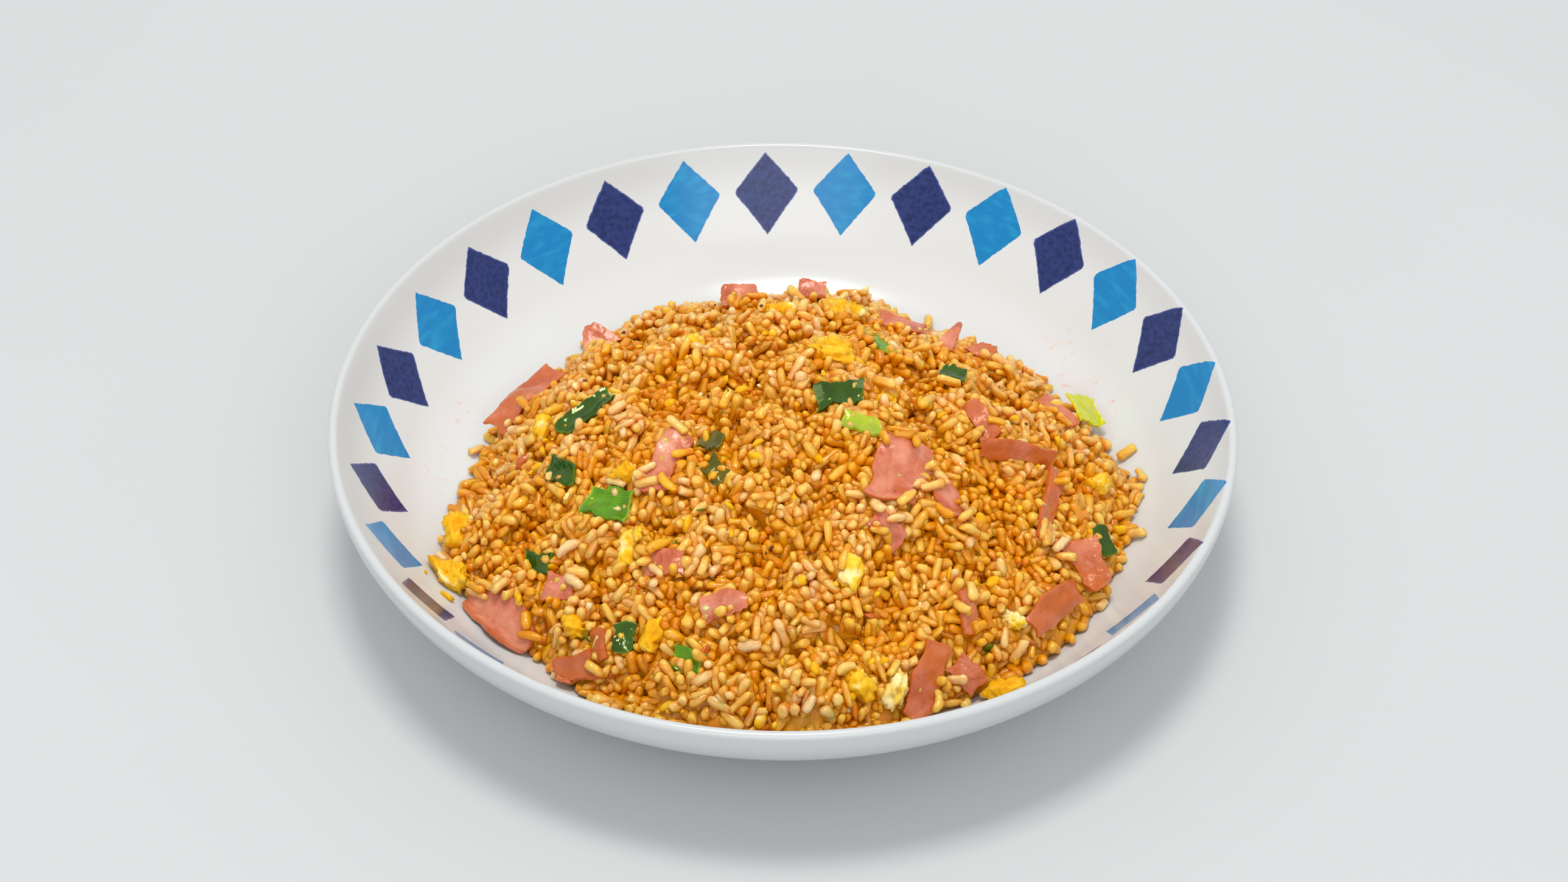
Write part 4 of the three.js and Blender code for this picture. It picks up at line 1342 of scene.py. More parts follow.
@dataclass
class RicePile:
    """Sets grains in clumps over a sunken core and lets them push each other and the toppings clear."""

    heap: Heap
    depth: float = 4.3
    top: float = 3.9
    layers: int = 3
    layer_step: float = 1.4
    spacing: float = 3.4
    squash: float = 0.48
    rounds: int = 40
    edge_share: float = 0.16
    edge_rise: float = 2.0
    bedding: float = 2.4
    jitter: float = 0.42
    length_mean: float = 7.2
    length_spread: float = 0.9
    length_least: float = 5.4
    length_most: float = 9.2
    broken_share: float = 0.22
    broken_least: float = 3.8
    broken_most: float = 5.6
    girth_mean: float = 1.62
    girth_spread: float = 0.15
    girth_least: float = 1.3
    girth_most: float = 2.0
    stray_share: float = 0.12
    left_share: float = 0.04
    pair_distance: float = 8.6
    pair_rounds: int = 8
    spring: tuple[float, float, float] = (0.05, 0.05, 0.2)
    topping_girth: float = 0.7
    steepest: float = 0.8
    seed: int = 11
    big: Clumps = field(default_factory=lambda: Clumps(24.0, 10.0, 17.0, 2.2, 21))
    small: Clumps = field(default_factory=lambda: Clumps(11.0, 3.0, 9.0, 1.0, 31))

    @staticmethod
    def support(x: np.ndarray, y: np.ndarray) -> np.ndarray:
        """How close each place is to a topping.

        Args:
            x, y: the places.

        Returns:
            A number from 0 to 1 for each place.
        """
        near = np.zeros(len(x))
        for piece in (*HAM, *SCALLION, *EGG):
            gap = np.hypot(x - piece.at[0], y - piece.at[1]) / (0.5 * max(piece.size[:2]) + 1.5)
            near = np.maximum(near, np.clip(1.6 - gap, 0, 1))
        return near

    def surface(self, x: np.ndarray, y: np.ndarray) -> np.ndarray:
        """Height of the rice as it looks from above, where it holds the toppings up.

        Args:
            x, y: the places.

        Returns:
            The height at each place.
        """
        reach, edge = self.heap.reach(x, y)
        fade = np.clip((1 - reach) * edge / 9.0, 0, 1)
        lumps = self.big.height(x, y) + self.small.height(x, y) + self.top
        lumps += (self.bedding - lumps) * self.support(x, y)
        return self.heap.core(x, y) + lumps * fade

    def bed(self, x: np.ndarray, y: np.ndarray) -> np.ndarray:
        """Height of the core that the grains lie on.

        Args:
            x, y: the places.

        Returns:
            The height at each place.
        """
        reach, edge = self.heap.reach(x, y)
        inner = np.clip((1 - reach) * edge / 16.0, 0, 1)
        core = self.surface(x, y) - self.depth * (0.4 + 0.6 * inner)
        return np.maximum(core, self.heap.plate.inside(np.hypot(x, y)))

    def pour(self) -> Grains:
        """Places the grains in loose layers that follow the clumps.

        Returns:
            The grains before they settle.
        """
        draw = np.random.default_rng(self.seed)
        row = self.spacing * math.sqrt(3) / 2
        span = int(116 / row)
        grid = np.arange(-span, span + 1)
        i, j, layer = [part.ravel() for part in np.meshgrid(grid, grid, np.arange(self.layers))]
        x = i + 0.5 * (j % 2) + 0.33 * layer + draw.uniform(-self.jitter, self.jitter, len(i))
        x = x * self.spacing
        y = (j + 0.33 * layer + draw.uniform(-self.jitter, self.jitter, len(i))) * row
        reach, edge = self.heap.reach(x, y)
        rim = (1 - reach) * edge + waves(np.column_stack([x, y]), 9.0, self.seed + 1) * 0.9
        stray = (layer == 0) & (rim > -1.6) & (draw.uniform(size=len(x)) < self.stray_share)
        keep = (rim > 2.0 + 1.8 * (self.layers - 1 - layer)) | stray
        x, y, layer, rim = x[keep], y[keep], layer[keep], rim[keep]
        count = len(x)
        length = draw.normal(self.length_mean, self.length_spread, count)
        length = np.clip(length, self.length_least, self.length_most)
        broken = draw.uniform(size=count) < self.broken_share
        length = np.where(broken, draw.uniform(self.broken_least, self.broken_most, count), length)
        girth = draw.normal(self.girth_mean, self.girth_spread, count)
        girth = np.clip(girth, self.girth_least, self.girth_most)
        heading = draw.normal(size=(count, 3))
        flatter = np.where(draw.uniform(size=count) < 0.4, 0.5, 1.9) * np.clip(rim / 8, 0.2, 1)
        heading[:, 2] *= flatter
        slope_x, slope_y = self.heap.slopes(x, y)
        heading[:, 2] += slope_x * heading[:, 0] + slope_y * heading[:, 1]
        heading /= np.linalg.norm(heading, axis=1)[:, None]
        low = self.heap.plate.inside(np.hypot(x, y)) + girth
        z = self.surface(x, y) - girth * 0.9 - layer * self.layer_step + draw.uniform(-0.5, 0.7, count)
        middle = np.column_stack([x, y, np.maximum(z, low)])
        half = length / 2 - girth
        return Grains(middle - half[:, None] * heading, middle + half[:, None] * heading, half, girth)

    def strew_edges(self, grains: Grains, obstacles: np.ndarray) -> Grains:
        """Adds grains on the edges of the toppings, so that the rice holds them.

        Args:
            grains: the grains as poured.
            obstacles: points over the toppings.

        Returns:
            The grains, with those on the edges after the others.
        """
        draw = np.random.default_rng(self.seed + 5)
        x, y, z, out = obstacles.T
        low = z < self.surface(x, y) + self.edge_rise
        edges = obstacles[low & (out > 0.7) & (draw.uniform(size=len(out)) < self.edge_share)]
        turn = draw.uniform(0, 2 * math.pi, len(edges))
        half = draw.uniform(1.4, 2.7, len(edges))
        girth = draw.uniform(1.3, 1.65, len(edges))
        heading = np.column_stack([np.cos(turn), np.sin(turn), draw.normal(0, 0.3, len(edges))])
        heading *= half[:, None]
        middle = edges[:, :3] + np.array([0, 0, 1.1])
        return Grains(
            np.vstack([grains.start, middle - heading]), np.vstack([grains.end, middle + heading]),
            np.concatenate([grains.half, half]), np.concatenate([grains.girth, girth]))

    def clear_toppings(self, grains: Grains, obstacles: np.ndarray, limit: float) -> Grains:
        """Takes away grains that lie on the middle of a topping.

        Args:
            grains: the grains.
            obstacles: points over the toppings.
            limit: how far out on a topping a grain may lie on it.

        Returns:
            The grains that are left.
        """
        draw = np.random.default_rng(self.seed + 2)
        middle = grains.middle()
        inner = obstacles[obstacles[:, 3] < limit]
        covered = np.zeros(len(middle), bool)
        for x, y, z, _ in inner:
            near = (middle[:, 0] - x) ** 2 + (middle[:, 1] - y) ** 2 < 2.0**2
            covered |= near & (middle[:, 2] > z - 0.9)
        return grains.keep(~covered | (draw.uniform(size=len(middle)) < self.left_share))

    @staticmethod
    def close_pairs(middle: np.ndarray, distance: float) -> tuple[np.ndarray, np.ndarray]:
        """Finds the grains that are close enough to touch.

        Args:
            middle: the middle of each grain.
            distance: how close counts.

        Returns:
            The two numbers of each pair.
        """
        order = np.argsort(middle[:, 1], kind="stable")
        points = middle[order]
        last = np.searchsorted(points[:, 1], points[:, 1] + distance)
        first_ids, second_ids = [], []
        for k in range(len(order)):
            gap = points[k + 1:last[k]] - points[k]
            hits = np.nonzero((gap * gap).sum(axis=1) < distance**2)[0]
            first_ids.append(np.full(len(hits), k))
            second_ids.append(hits + k + 1)
        return order[np.concatenate(first_ids)], order[np.concatenate(second_ids)]

    @staticmethod
    def closest(a0: np.ndarray, a1: np.ndarray, b0: np.ndarray, b1: np.ndarray) -> tuple:
        """Closest points of pairs of rods.

        Args:
            a0, a1: the ends of the first rods.
            b0, b1: the ends of the second rods.

        Returns:
            The share along each rod, and the gap from second to first as vectors.
        """
        d1, d2, r = a1 - a0, b1 - b0, a0 - b0
        a = (d1 * d1).sum(axis=1) + 1e-9
        e = (d2 * d2).sum(axis=1) + 1e-9
        b, c, f = (d1 * d2).sum(axis=1), (d1 * r).sum(axis=1), (d2 * r).sum(axis=1)
        across = a * e - b * b
        s = np.where(across > 1e-6, np.clip((b * f - c * e) / np.maximum(across, 1e-6), 0, 1), 0.5)
        t = np.clip((b * s + f) / e, 0, 1)
        s = np.clip((b * t - c) / a, 0, 1)
        gap = a0 + d1 * s[:, None] - b0 - d2 * t[:, None]
        return s, t, gap

    def settle(self, grains: Grains, obstacles: np.ndarray) -> Grains:
        """Lets the grains push each other apart while each is drawn back to its clump.

        Args:
            grains: the grains as poured.
            obstacles: points over the toppings, which don't move.

        Returns:
            The grains at rest.
        """
        count = len(grains.half)
        fixed = obstacles[:, :3]
        start = np.vstack([grains.start, fixed])
        end = np.vstack([grains.end, fixed])
        home = grains.middle()
        girth = np.concatenate([grains.girth * self.squash, np.full(len(fixed), self.topping_girth)])
        pairs = (np.zeros(0, int), np.zeros(0, int))
        for turn in range(self.rounds):
            if turn % self.pair_rounds == 0:
                first, second = self.close_pairs((start + end) / 2, self.pair_distance)
                loose = (first < count) | (second < count)
                pairs = (first[loose], second[loose])
            back = (home - (start[:count] + end[:count]) / 2) * np.array(self.spring)
            start[:count] += back
            end[:count] += back
            self.push_apart(start, end, girth, pairs, count)
            self.keep_length(start, end, grains.half, count)
            self.keep_above(start, end, grains.girth, count)
        return Grains(start[:count], end[:count], grains.half, grains.girth)

    def push_apart(
        self, start: np.ndarray, end: np.ndarray, girth: np.ndarray, pairs: tuple, count: int
    ) -> None:
        """Moves overlapping grains away from each other, turning them where they touch.

        Args:
            start, end: the ends of the grains, which it changes.
            girth: their radii.
            pairs: which ones may touch.
            count: how many may move.
        """
        first, second = pairs
        s, t, gap = self.closest(start[first], end[first], start[second], end[second])
        distance = np.linalg.norm(gap, axis=1)
        overlap = girth[first] + girth[second] - distance
        hit = overlap > 0
        first, second, s, t = first[hit], second[hit], s[hit], t[hit]
        way = gap[hit] / (distance[hit][:, None] + 1e-6)
        held = (first >= count) | (second >= count)
        push = overlap[hit] * np.where(held, 0.7, 0.36)
        for ids, share, sign in ((first, s, 1.0), (second, t, -1.0)):
            near, far = 1 - share, share
            scale = push * sign / (near**2 + far**2)
            for axis in range(3):
                step = scale * way[:, axis]
                start[:count, axis] += np.bincount(ids, step * near, len(start))[:count]
                end[:count, axis] += np.bincount(ids, step * far, len(end))[:count]

    @staticmethod
    def keep_length(start: np.ndarray, end: np.ndarray, half: np.ndarray, count: int) -> None:
        """Gives every grain its own length again.

        Args:
            start, end: the ends, which it changes.
            half: half the distance between a grain's ends.
            count: how many grains there are.
        """
        middle = (start[:count] + end[:count]) / 2
        heading = end[:count] - start[:count]
        heading /= np.linalg.norm(heading, axis=1)[:, None] + 1e-9
        start[:count] = middle - heading * half[:, None]
        end[:count] = middle + heading * half[:, None]

    def keep_above(self, start: np.ndarray, end: np.ndarray, girth: np.ndarray, count: int) -> None:
        """Keeps the grains over the core and inside the plate.

        Args:
            start, end: the ends, which it changes.
            girth: the radii of the grains.
            count: how many grains there are.
        """
        for points in (start, end):
            x, y = points[:count, 0], points[:count, 1]
            radius = np.hypot(x, y)
            plate = self.heap.plate.inside(radius)
            out = (radius - self.heap.plate.floor_radius) / self.heap.plate.bend_radius
            on_plate = plate + girth / np.sqrt(1 - np.clip(out, 0, self.steepest) ** 2)
            points[:count, 2] = np.maximum(points[:count, 2], on_plate)


class Pattern:
    """A small form that is modelled once and then repeated in one mesh."""

    def __init__(self, piece: bpy.types.Object) -> None:
        """Reads the form from a piece and removes the piece.

        Args:
            piece: the modelled form.
        """
        self.points = coordinates(piece)
        self.sizes = np.array([polygon.loop_total for polygon in piece.data.polygons])
        self.loops = np.array([loop.vertex_index for loop in piece.data.loops])
        bpy.data.objects.remove(piece)

    def join(self, name: str, places: np.ndarray, numbers: dict[str, np.ndarray]) -> bpy.types.Object:
        """Joins copies in one mesh.

        Args:
            name: the mesh's name.
            places: the vertices of each copy, in millimetres.
            numbers: values of each copy or of each of its vertices, by attribute name.

        Returns:
            The object.
        """
        count, size = places.shape[0], places.shape[1]
        mesh = bpy.data.meshes.new(name)
        mesh.vertices.add(count * size)
        mesh.vertices.foreach_set("co", (places * MM).astype(np.float32).ravel())
        loops = (self.loops[None, :] + (np.arange(count) * size)[:, None]).ravel()
        mesh.loops.add(len(loops))
        mesh.loops.foreach_set("vertex_index", loops.astype(np.int32))
        sizes = np.tile(self.sizes, count)
        mesh.polygons.add(len(sizes))
        starts = np.concatenate([[0], np.cumsum(sizes)[:-1]])
        mesh.polygons.foreach_set("loop_start", starts.astype(np.int32))
        mesh.polygons.foreach_set("use_smooth", np.ones(len(sizes), bool))
        mesh.update(calc_edges=True)
        for key, values in numbers.items():
            put_numbers(mesh, key, np.broadcast_to(values.reshape(count, -1), (count, size)))
        return add_object(name, mesh)


def grain_pattern() -> Pattern:
    """Models a grain from a ball: nearly even along its middle and blunt at both ends.

    Returns:
        The pattern, along X.
    """
    bpy.ops.object.select_all(action="DESELECT")
    bpy.ops.mesh.primitive_uv_sphere_add(segments=7, ring_count=7, radius=1, rotation=(0, math.pi / 2, 0))
    piece = bpy.context.object
    bpy.ops.object.transform_apply(location=False, rotation=True, scale=False)
    for low, high, girth in ((0.5, 0.8, 1.2), (0.85, 0.95, 1.5)):
        bpy.ops.object.mode_set(mode="EDIT")
        bpy.ops.mesh.select_all(action="DESELECT")
        bpy.ops.object.mode_set(mode="OBJECT")
        for vertex in piece.data.vertices:
            vertex.select = low < abs(vertex.co.x) < high
        bpy.ops.object.mode_set(mode="EDIT")
        bpy.ops.transform.resize(value=(1, girth, girth))
        bpy.ops.object.mode_set(mode="OBJECT")
    return Pattern(piece)


def crumb_pattern() -> Pattern:
    """Models a crumb from a ball.

    Returns:
        The pattern.
    """
    bpy.ops.object.select_all(action="DESELECT")
    bpy.ops.mesh.primitive_ico_sphere_add(subdivisions=2, radius=1)
    return Pattern(bpy.context.object)


@dataclass(frozen=True)
class GrainKind:
    """One kind of grain: how far up the drawn ranks it reaches, and its finish."""

    share: float
    finish: RiceFinish


KINDS = (
    GrainKind(0.2, RiceFinish("rice_toasted", -0.06)),
    GrainKind(0.42, RiceFinish("rice_amber", -0.03)),
    GrainKind(0.64, RiceFinish("rice_golden", 0.0)),
    GrainKind(0.86, RiceFinish("rice_honey", 0.05)),
    GrainKind(math.inf, RiceFinish("rice_pale", 0.14)),
)


@dataclass
class Rice:
    """The heap as it looks: a wet core under loose grains."""

    heap: Heap
    pile: RicePile
    core_rings: int = 110
    core_spokes: int = 380
    core_inset: float = 2.6
    core_tint_and_shade: float = 0.3
    taper: float = 0.3
    roughness: float = 0.09
    bend: float = 1.3
    cut_share: float = 0.55
    touch_distance: float = 7.0
    touch_gap: float = 1.3
    touch_batch: int = 20000
    # painted shade: these set how dark a grain is drawn from how deep it lies in the heap
    shade_depth_low: float = 4.6
    shade_depth_span: float = 5.4
    shade_depth_most: float = 0.9
    crease_low: float = 9.0
    crease_span: float = 5.0
    painted_crease_shade: float = 0.3
    pale_spots: tuple = (
        (-12, -48, 9), (-18, -56, 6), (-48, -8, 8), (18, -3, 6), (-30, -12, 7), (8, -44, 6))
    # places where the grains are drawn darker, beside the hollows
    darker_spots: tuple = ((-8, -57, 8), (-18, -6, 7), (36, -20, 9), (-66, -40, 8), (24, -76, 8))

    def build_core(self) -> bpy.types.Object:
        """Makes the closed core from its middle out to its edge.

        Returns:
            The core.
        """
        turns = np.linspace(0, 2 * math.pi, self.core_spokes, endpoint=False)
        edge = self.heap.outline(turns) - self.core_inset
        shares = np.linspace(0, 1, self.core_rings + 1)[1:]
        x = np.concatenate([[0], (shares[:, None] * (edge * np.cos(turns))[None, :]).ravel()])
        y = np.concatenate([[0], (shares[:, None] * (edge * np.sin(turns))[None, :]).ravel()])
        low = self.heap.plate.inside(np.hypot(x, y)) + 0.15
        places = np.column_stack([x, y])
        rough = waves(places, 4.0, 3) * 0.6 + np.abs(waves(places, 2.0, 4)) * 0.9
        high = np.maximum(self.pile.bed(x, y) + rough, low + 0.2)
        points = np.vstack([np.column_stack([x, y, high]), np.column_stack([x, y, low])])
        mesh = bpy.data.meshes.new("rice_core")
        mesh.from_pydata((points * MM).tolist(), [], self.core_faces(len(x)))
        mesh.update()
        # the core lies deep, so a fixed low number gives it the painted shade of the deepest grains, with
        # the sauce and tint numbers
        for key in ("tint", "depth", "sauce_and_shade"):
            put_numbers(mesh, key, np.full(len(points), self.core_tint_and_shade))
        piece = add_object("rice_core", mesh)
        select_only(piece)
        bpy.ops.object.shade_smooth()
        return piece

    def core_faces(self, count: int) -> list[tuple[int, ...]]:
        """Faces of the core's top, underside and edge.

        Args:
            count: how many vertices one side has.

        Returns:
            The vertex numbers of each face.
        """
        faces = []
        spokes = self.core_spokes
        for k in range(spokes):
            after = (k + 1) % spokes
            faces.append((0, 1 + k, 1 + after))
            faces.append((count, count + 1 + after, count + 1 + k))
            for ring in range(self.core_rings - 1):
                a, b = 1 + ring * spokes + k, 1 + ring * spokes + after
                c, d = b + spokes, a + spokes
                faces.append((a, d, c, b))
                faces.append((count + a, count + b, count + c, count + d))
            last = 1 + (self.core_rings - 1) * spokes
            a, b = last + k, last + after
            faces.append((a, count + a, count + b, b))
        return faces

    def shape(self, pattern: Pattern, grains: Grains, seed: int) -> np.ndarray:
        """Gives each grain its own bend, girth, taper and ends, some of them broken off.

        Args:
            pattern: the grain's pattern.
            grains: where the grains lie.
            seed: picks the shapes.

        Returns:
            The vertices of each grain.
        """
        draw = np.random.default_rng(seed)
        count = len(grains.half)
        heading = grains.heading()
        side = np.cross(heading, draw.normal(size=(count, 3)))
        side /= np.linalg.norm(side, axis=1)[:, None]
        over = np.cross(heading, side)
        local = pattern.points[None, :, :]
        along, wide, thick = local[:, :, 0], local[:, :, 1], local[:, :, 2]
        radius = grains.girth[:, None]
        slim = 1 - draw.uniform(0, self.taper, (count, 1)) * (along + 1) / 2
        lumps = 1 + 0.09 * np.sin(along * draw.uniform(3, 6, (count, 1)) + draw.uniform(0, 6, (count, 1)))
        rough = draw.normal(0, self.roughness, (count, along.shape[1]))
        u = along * (grains.half[:, None] + radius)
        v = wide * radius * draw.uniform(1.0, 1.12, (count, 1)) * slim * lumps + rough
        w = thick * radius * draw.uniform(0.74, 0.98, (count, 1)) * slim * lumps - rough
        v = v + draw.uniform(-0.95, 0.95, (count, 1)) ** 3 * (1 - along**2) * self.bend
        broken = draw.uniform(size=(count, 1)) < self.cut_share
        cut = np.where(broken, draw.uniform(0.55, 0.85, (count, 1)), 1.2)
        slant = draw.uniform(-0.5, 0.5, (count, 1)) * v
        u = np.minimum(u, cut * (grains.half[:, None] + radius) + slant)
        places = grains.middle()[:, None, :] + u[..., None] * heading[:, None, :]
        return places + v[..., None] * side[:, None, :] + w[..., None] * over[:, None, :]

    def sauce_and_shade(self, shapes: np.ndarray, grains: Grains) -> np.ndarray:
        """How close each vertex is to another grain, where sauce gathers and painted shade darkens the
        grain.

        Args:
            shapes: the vertices of each grain.
            grains: where the grains lie.

        Returns:
            A number from 0 to 1 for each vertex.
        """
        first, second = self.pile.close_pairs(grains.middle(), self.touch_distance)
        mine, other = np.concatenate([first, second]), np.concatenate([second, first])
        close = np.zeros(shapes.shape[:2])
        for low in range(0, len(mine), self.touch_batch):
            a, b = mine[low:low + self.touch_batch], other[low:low + self.touch_batch]
            way = grains.end[b] - grains.start[b]
            points = shapes[a] - grains.start[b][:, None, :]
            share = (points * way[:, None, :]).sum(axis=2) / ((way * way).sum(axis=1)[:, None] + 1e-9)
            gap = points - np.clip(share, 0, 1)[:, :, None] * way[:, None, :]
            gap = np.linalg.norm(gap, axis=2) - grains.girth[b][:, None]
            np.maximum.at(close, a, np.clip(1 - gap / self.touch_gap, 0, 1) ** 1.5)
        return close

    def up(self, middle: np.ndarray) -> np.ndarray:
        """The way out of the heap at each grain.

        Args:
            middle: the middle of each grain.

        Returns:
            A direction for each grain.
        """
        slope_x, slope_y = self.heap.slopes(middle[:, 0], middle[:, 1])
        way = np.column_stack([-slope_x, -slope_y, np.ones(len(middle))])
        return way / np.linalg.norm(way, axis=1)[:, None]

    @staticmethod
    def near(middle: np.ndarray, spots: tuple) -> np.ndarray:
        """How close each grain is to some places.

        Args:
            middle: the middle of each grain.
            spots: x, y and radius of each place.

        Returns:
            A number from 0 to 1 for each grain.
        """
        close = np.zeros(len(middle))
        for x, y, radius in spots:
            gap = ((middle[:, 0] - x) ** 2 + (middle[:, 1] - y) ** 2) / radius**2
            close = np.maximum(close, np.clip(1.3 - gap, 0, 1))
        return close

    def build(self, obstacles: np.ndarray, edges: np.ndarray) -> Grains:
        """Makes the core and every kind of grain.

        Args:
            obstacles: points over the toppings.
            edges: points over the toppings that grains lie on.

        Returns:
            All the grains.
        """
        core = self.build_core()
        core.data.materials.append(RiceFinish("rice_bed", -0.05).build())
        log.info("%s", dress(core, "rice_core", "rice", "rice_heap").name)
        grains = self.pile.clear_toppings(self.pile.pour(), obstacles, 0.6)
        grains = self.pile.settle(self.pile.strew_edges(grains, edges), obstacles)
        grains = self.pile.clear_toppings(grains, obstacles, 0.5)
        middle = grains.middle()
        over = middle[:, 2] - self.heap.core(middle[:, 0], middle[:, 1])
        spread = np.percentile(over, [5, 50, 95]).round(1)
        log.info("%d grains, middles over the bare heap %s mm", len(over), spread)
        under = middle[:, 2] - self.pile.surface(middle[:, 0], middle[:, 1])
        draw = np.random.default_rng(5)
        rank = draw.uniform(size=len(over)) + 0.1 * waves(middle[:, :2], 24.0, 8)
        rank += 0.42 * self.near(middle, self.pale_spots) - 0.4 * self.near(middle, self.darker_spots)
        tint = np.clip(draw.normal(0.5, 0.26, len(over)), 0, 1)
        pattern = grain_pattern()
        forms = self.shape(pattern, grains, 40)
        sauce_and_shade = self.sauce_and_shade(forms, grains)
        low = -math.inf
        for kind in KINDS:
            mine = (rank >= low) & (rank < kind.share)
            low = kind.share
            shapes, spots, name = forms[mine], middle[mine], kind.finish.name
            # painted shade: grains lower in the heap, and the lower side of each grain, get a smaller depth
            # number and are drawn darker
            rise = ((shapes - spots[:, None, :]) * self.up(spots)[:, None, :]).sum(axis=2)
            depth = (under[mine][:, None] + rise + self.shade_depth_low) / self.shade_depth_span
            # painted shade in the creases between the big clumps: the depth number shrinks there, so those
            # grains are drawn darker
            lumps = self.pile.big.height(spots[:, 0], spots[:, 1])
            crease = np.clip((lumps + self.crease_low) / self.crease_span, 0, 1)
            light = self.painted_crease_shade + (1 - self.painted_crease_shade) * crease[:, None]
            depth = np.clip(depth, 0, self.shade_depth_most) * light
            numbers = {"tint": tint[mine], "depth": depth, "sauce_and_shade": sauce_and_shade[mine]}
            piece = pattern.join(name, shapes, numbers)
            piece.data.materials.append(kind.finish.build())
            log.info("%s: %d grains", dress(piece, name, "rice", "rice_heap").name, int(mine.sum()))
        return grains


LEAF_BITS = ((-29, -53), (-22, -44), (4, 53), (70, 50), (56, -70), (-52, -71), (-27, -78), (12, 20))
HAM_BITS = ((-20, -82), (-73, -5), (-44, -80), (-38, -61), (58, 2), (24, -70), (68, -67))
# places where charred specks bunch, at the darker spots of grains
DARKER_PLACES = ((-6, -57), (-18, -6), (-8, -55), (12, 22))


@dataclass
class Scraps:
    """Small bits that lie between the grains: egg, leaf, ham and charred specks."""

    heap: Heap
    grains: Grains
    cell: float = 1.2
    span: float = 114.0
    edge_gap: float = 5.0
    round_each: int = 3
    unevenness: float = 0.13
    least_rest: float = 0.4

    def __post_init__(self) -> None:
        """Finds how high the grains stand."""
        size = int(2 * self.span / self.cell) + 1
        self.tops = np.full((size, size), -1.0)
        for share in np.linspace(0, 1, 5):
            spots = self.grains.start * (1 - share) + self.grains.end * share
            cells = ((spots[:, :2] + self.span) / self.cell).round().astype(int)
            np.maximum.at(self.tops, (cells[:, 0], cells[:, 1]), spots[:, 2] + self.grains.girth * 0.8)

    def top(self, x: np.ndarray, y: np.ndarray) -> np.ndarray:
        """Height of the grains at places.

        Args:
            x, y: the places.

        Returns:
            The height at each place.
        """
        cells = ((np.column_stack([x, y]) + self.span) / self.cell).round().astype(int)
        return np.maximum(self.tops[cells[:, 0], cells[:, 1]], self.heap.core(x, y) - 1)

    def scatter(self, count: int, seed: int, spots: tuple = (), spread: float = 2.5) -> np.ndarray:
        """Draws places over the heap, some of them round given places.

        Args:
            count: how many.
            seed: picks the places.
            spots: places that draw some of them.
            spread: how far those stray.

        Returns:
            A row of x and y for each.
        """
        draw = np.random.default_rng(seed)
        turn = draw.uniform(0, 2 * math.pi, count)
        out = np.sqrt(draw.uniform(0, 1, count)) * (self.heap.outline(turn) - self.edge_gap)
        places = np.column_stack([out * np.cos(turn), out * np.sin(turn)])
        if spots:
            near = np.repeat(np.array(spots, float), self.round_each, axis=0)
            places = np.vstack([near + draw.normal(0, spread, near.shape), places])
        return places

    def build(
        self, name: str, places: np.ndarray, size: tuple, sink: float, seed: int,
        finish: bpy.types.Material, slot: str, stretch: float = 1.6, flat: tuple = (0.5, 0.8)
    ) -> bpy.types.Object:
        """Makes one kind of scrap.

        Args:
            name: the piece's name.
            places: where the scraps lie.
            size: smallest and largest radius.
            sink: how deep they sit between the grains, as a share of their size.
            seed: picks their shapes.
            finish: their material.
            slot: not used.
            stretch: how much longer than wide they may be.
            flat: least and most thickness, as a share of the width.

        Returns:
            The piece.
        """
        draw = np.random.default_rng(seed)
        pattern = crumb_pattern()
        count = len(places)
        radius = draw.uniform(0, 1, count) ** 2 * (size[1] - size[0]) + size[0]
        axes = np.linalg.qr(draw.normal(size=(count, 3, 3)))[0]
        uneven = draw.normal(0, self.unevenness, (count, len(pattern.points), 1))
        local = pattern.points[None] * (1 + uneven)
        long = draw.uniform(1, stretch, count)
        shares = np.column_stack([long, np.ones(count), draw.uniform(*flat, count)])
        shapes = (local * (shares * radius[:, None])[:, None, :]) @ axes
        x, y = places.T
        plate = self.heap.plate.inside(np.hypot(x, y)) + radius * self.least_rest
        z = np.maximum(self.top(x, y) - radius * sink, plate)
        middle = np.column_stack([places, z])
        piece = pattern.join(name, middle[:, None, :] + shapes, {})
        piece.data.materials.append(finish)
        return dress(piece, name, slot)


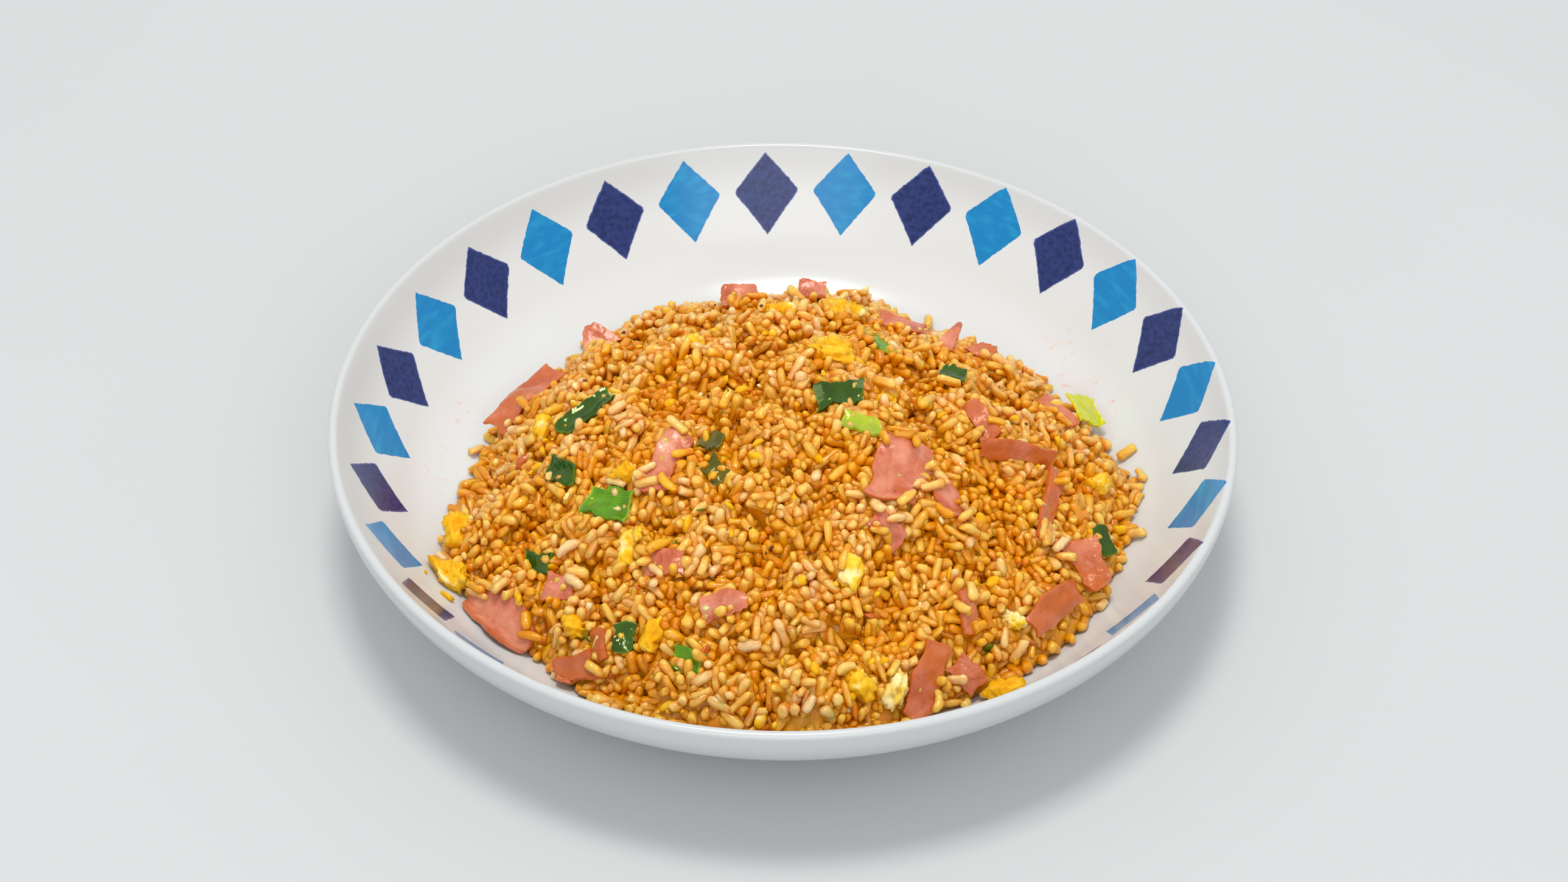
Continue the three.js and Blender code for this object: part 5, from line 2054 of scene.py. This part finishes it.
@dataclass
class Studio:
    """The pale floor, the soft light and the camera, as the photograph has them."""

    image_width: int = 2576
    focal_pixels: float = 5044.768
    distance: float = 861.77
    elevation: float = 40.66
    roll: float = 0.737
    aim: tuple[float, float, float] = (0.305, -13.277, 0.0)
    aim_height: float = 40.5
    sensor: float = 36.0
    floor_size: float = 6.0
    light_aim: tuple[float, float, float] = (0.0, 0.0, 0.03)
    air_colour: Colour = (0.95, 0.98, 1.0)
    air_strength: float = 0.82

    def build_floor(self) -> None:
        """Makes the floor that the plate stands on."""
        bpy.ops.object.select_all(action="DESELECT")
        bpy.ops.mesh.primitive_plane_add(size=self.floor_size)
        floor = bpy.context.object
        floor.name = "studio_floor"
        light, dark = from_srgb(197, 197, 197), from_srgb(195, 195, 195)
        finish = PlainFinish("floor_paper", light, dark, 3.0, 0.7)
        floor.data.materials.append(finish.build())

    def build_camera(self) -> None:
        """Makes the camera and points it."""
        data = bpy.data.cameras.new("camera")
        data.sensor_width = self.sensor
        data.lens = self.sensor * self.focal_pixels / self.image_width
        data.clip_start, data.clip_end = 0.01, 20.0
        camera = add_object("camera", data)
        high = math.radians(self.elevation)
        place = Vector((0, -self.distance * math.cos(high), self.distance * math.sin(high)))
        ahead = (Vector(self.aim) - place).normalized()
        right = ahead.cross(Vector((0, 0, 1))).normalized()
        up = right.cross(ahead)
        turn = math.radians(self.roll)
        side = right * math.cos(turn) + up * math.sin(turn)
        top = up * math.cos(turn) - right * math.sin(turn)
        place.z += self.aim_height
        rows = Matrix((side, top, -ahead)).transposed().to_4x4()
        camera.matrix_world = Matrix.Translation(place * MM) @ rows
        bpy.context.scene.camera = camera

    def build_light(self, name: str, place: tuple, size: tuple, power: float, colour: Colour) -> None:
        """Makes one soft light that points at the plate.

        Args:
            name: its name.
            place: where it stands, in metres.
            size: its width and height, in metres.
            power: its power, in watts.
            colour: its colour.
        """
        data = bpy.data.lights.new(name, "AREA")
        data.shape = "RECTANGLE"
        data.size, data.size_y = size
        data.energy = power
        data.color = colour
        light = add_object(name, data)
        light.location = place
        ahead = Vector(self.light_aim) - Vector(place)
        light.rotation_euler = ahead.to_track_quat("-Z", "Y").to_euler()

    def build(self) -> None:
        """Makes the whole studio."""
        self.build_floor()
        self.build_camera()
        self.build_light("soft_window", (-0.06, 0.12, 1.9), (0.5, 0.45), 16.5, (1.0, 0.995, 0.98))
        self.build_light("front_fill", (0.1, -1.5, 1.0), (1.4, 0.8), 8.0, (0.94, 0.97, 1.0))
        world = bpy.data.worlds.new("studio_air")
        world.use_nodes = True
        air = world.node_tree.nodes["Background"]
        air.inputs["Color"].default_value = (*self.air_colour, 1.0)
        air.inputs["Strength"].default_value = self.air_strength
        bpy.context.scene.world = world
        bpy.context.scene.view_settings.view_transform = "Standard"


def main() -> None:
    """Builds every piece in order and reports each."""
    logging.basicConfig(level=logging.INFO, format="%(message)s", stream=sys.stdout)
    Studio().build()
    plate = Plate()
    log.info("%s", plate.build().name)
    heap = Heap(plate)
    obstacles = []
    ham_finish = HamFinish().build()
    fried_finish = HamFinish("browned_ham", fried=1.0).build()
    for number, sheet in enumerate(HAM, 1):
        cut = SheetCut(sheet, float(number), HAM_THICKNESS, heap)
        finish = fried_finish if number in BROWNED_HAM else ham_finish
        log.info("%s", cut.build(f"ham_slice_{number:02d}", "ham", f"ham_{number:02d}", finish).name)
        obstacles.append(cut.obstacle())
    tones = {tone: tone.value.build() for tone in Tone}
    for number, sheet in enumerate(SCALLION, 1):
        cut = SheetCut(
            sheet, number - 0.5, SCALLION_THICKNESS, heap,
            coarse_rag=0.1, fine_rag=0.05, end_bow=0.08, nick=0.2)
        name, node = f"scallion_leaf_{number:02d}", f"scallion_{number:02d}"
        log.info("%s", cut.build(name, SLOTS[sheet.tone], node, tones[sheet.tone]).name)
        obstacles.append(cut.obstacle() * LEAF_CLEAR)
    egg = Egg(heap)
    yolk, light = from_srgb(236, 166, 2), from_srgb(248, 196, 40)
    cream, white = from_srgb(250, 214, 90), from_srgb(252, 228, 160)
    yolk_finish = EggFinish("egg_yolk", yolk, light, white, 0.0).build()
    pale_finish = EggFinish("egg_pale", light, cream, white, 0.6).build()
    for number, lump in enumerate(EGG, 1):
        piece = egg.build_lump(lump, number, pale_finish if lump.pale else yolk_finish)
        log.info("%s", piece.name)
        obstacles.append(egg.obstacle(lump))
    held = np.vstack(obstacles[:len(HAM)] + obstacles[-len(EGG):])
    grains = Rice(heap, RicePile(heap)).build(np.vstack(obstacles), held)
    scraps = Scraps(heap, grains)
    crumbs = scraps.scatter(150, 61, egg.crumb_places + 2 * tuple(lump.at for lump in EGG), 3.6)
    log.info("%s", scraps.build("egg_crumbs", crumbs, (0.6, 1.9), 0.3, 62, yolk_finish, "egg").name)
    bits = scraps.scatter(26, 63)
    piece = scraps.build("egg_white_bits", bits, (0.6, 1.5), 0.3, 64, pale_finish, "egg_white")
    log.info("%s", piece.name)
    piece = scraps.build(
        "scallion_bits", np.array(LEAF_BITS, float), (1.3, 2.2), 0.1, 67, tones[Tone.DARK],
        SLOTS[Tone.DARK], flat=(0.2, 0.35))
    log.info("%s", piece.name)
    piece = scraps.build(
        "ham_bits", np.array(HAM_BITS, float), (1.6, 2.6), 0.3, 68, fried_finish,
        "ham", stretch=1.7, flat=(0.25, 0.4))
    log.info("%s", piece.name)
    black, umber = from_srgb(70, 32, 6), from_srgb(120, 60, 10)
    char = PlainFinish("charred_specks", black, umber, 900.0, 0.5).build()
    specks = scraps.scatter(46, 65, DARKER_PLACES)
    log.info("%s", scraps.build("charred_specks", specks, (0.25, 0.6), -0.2, 66, char, "rice").name)


if __name__ == "__main__":
    main()
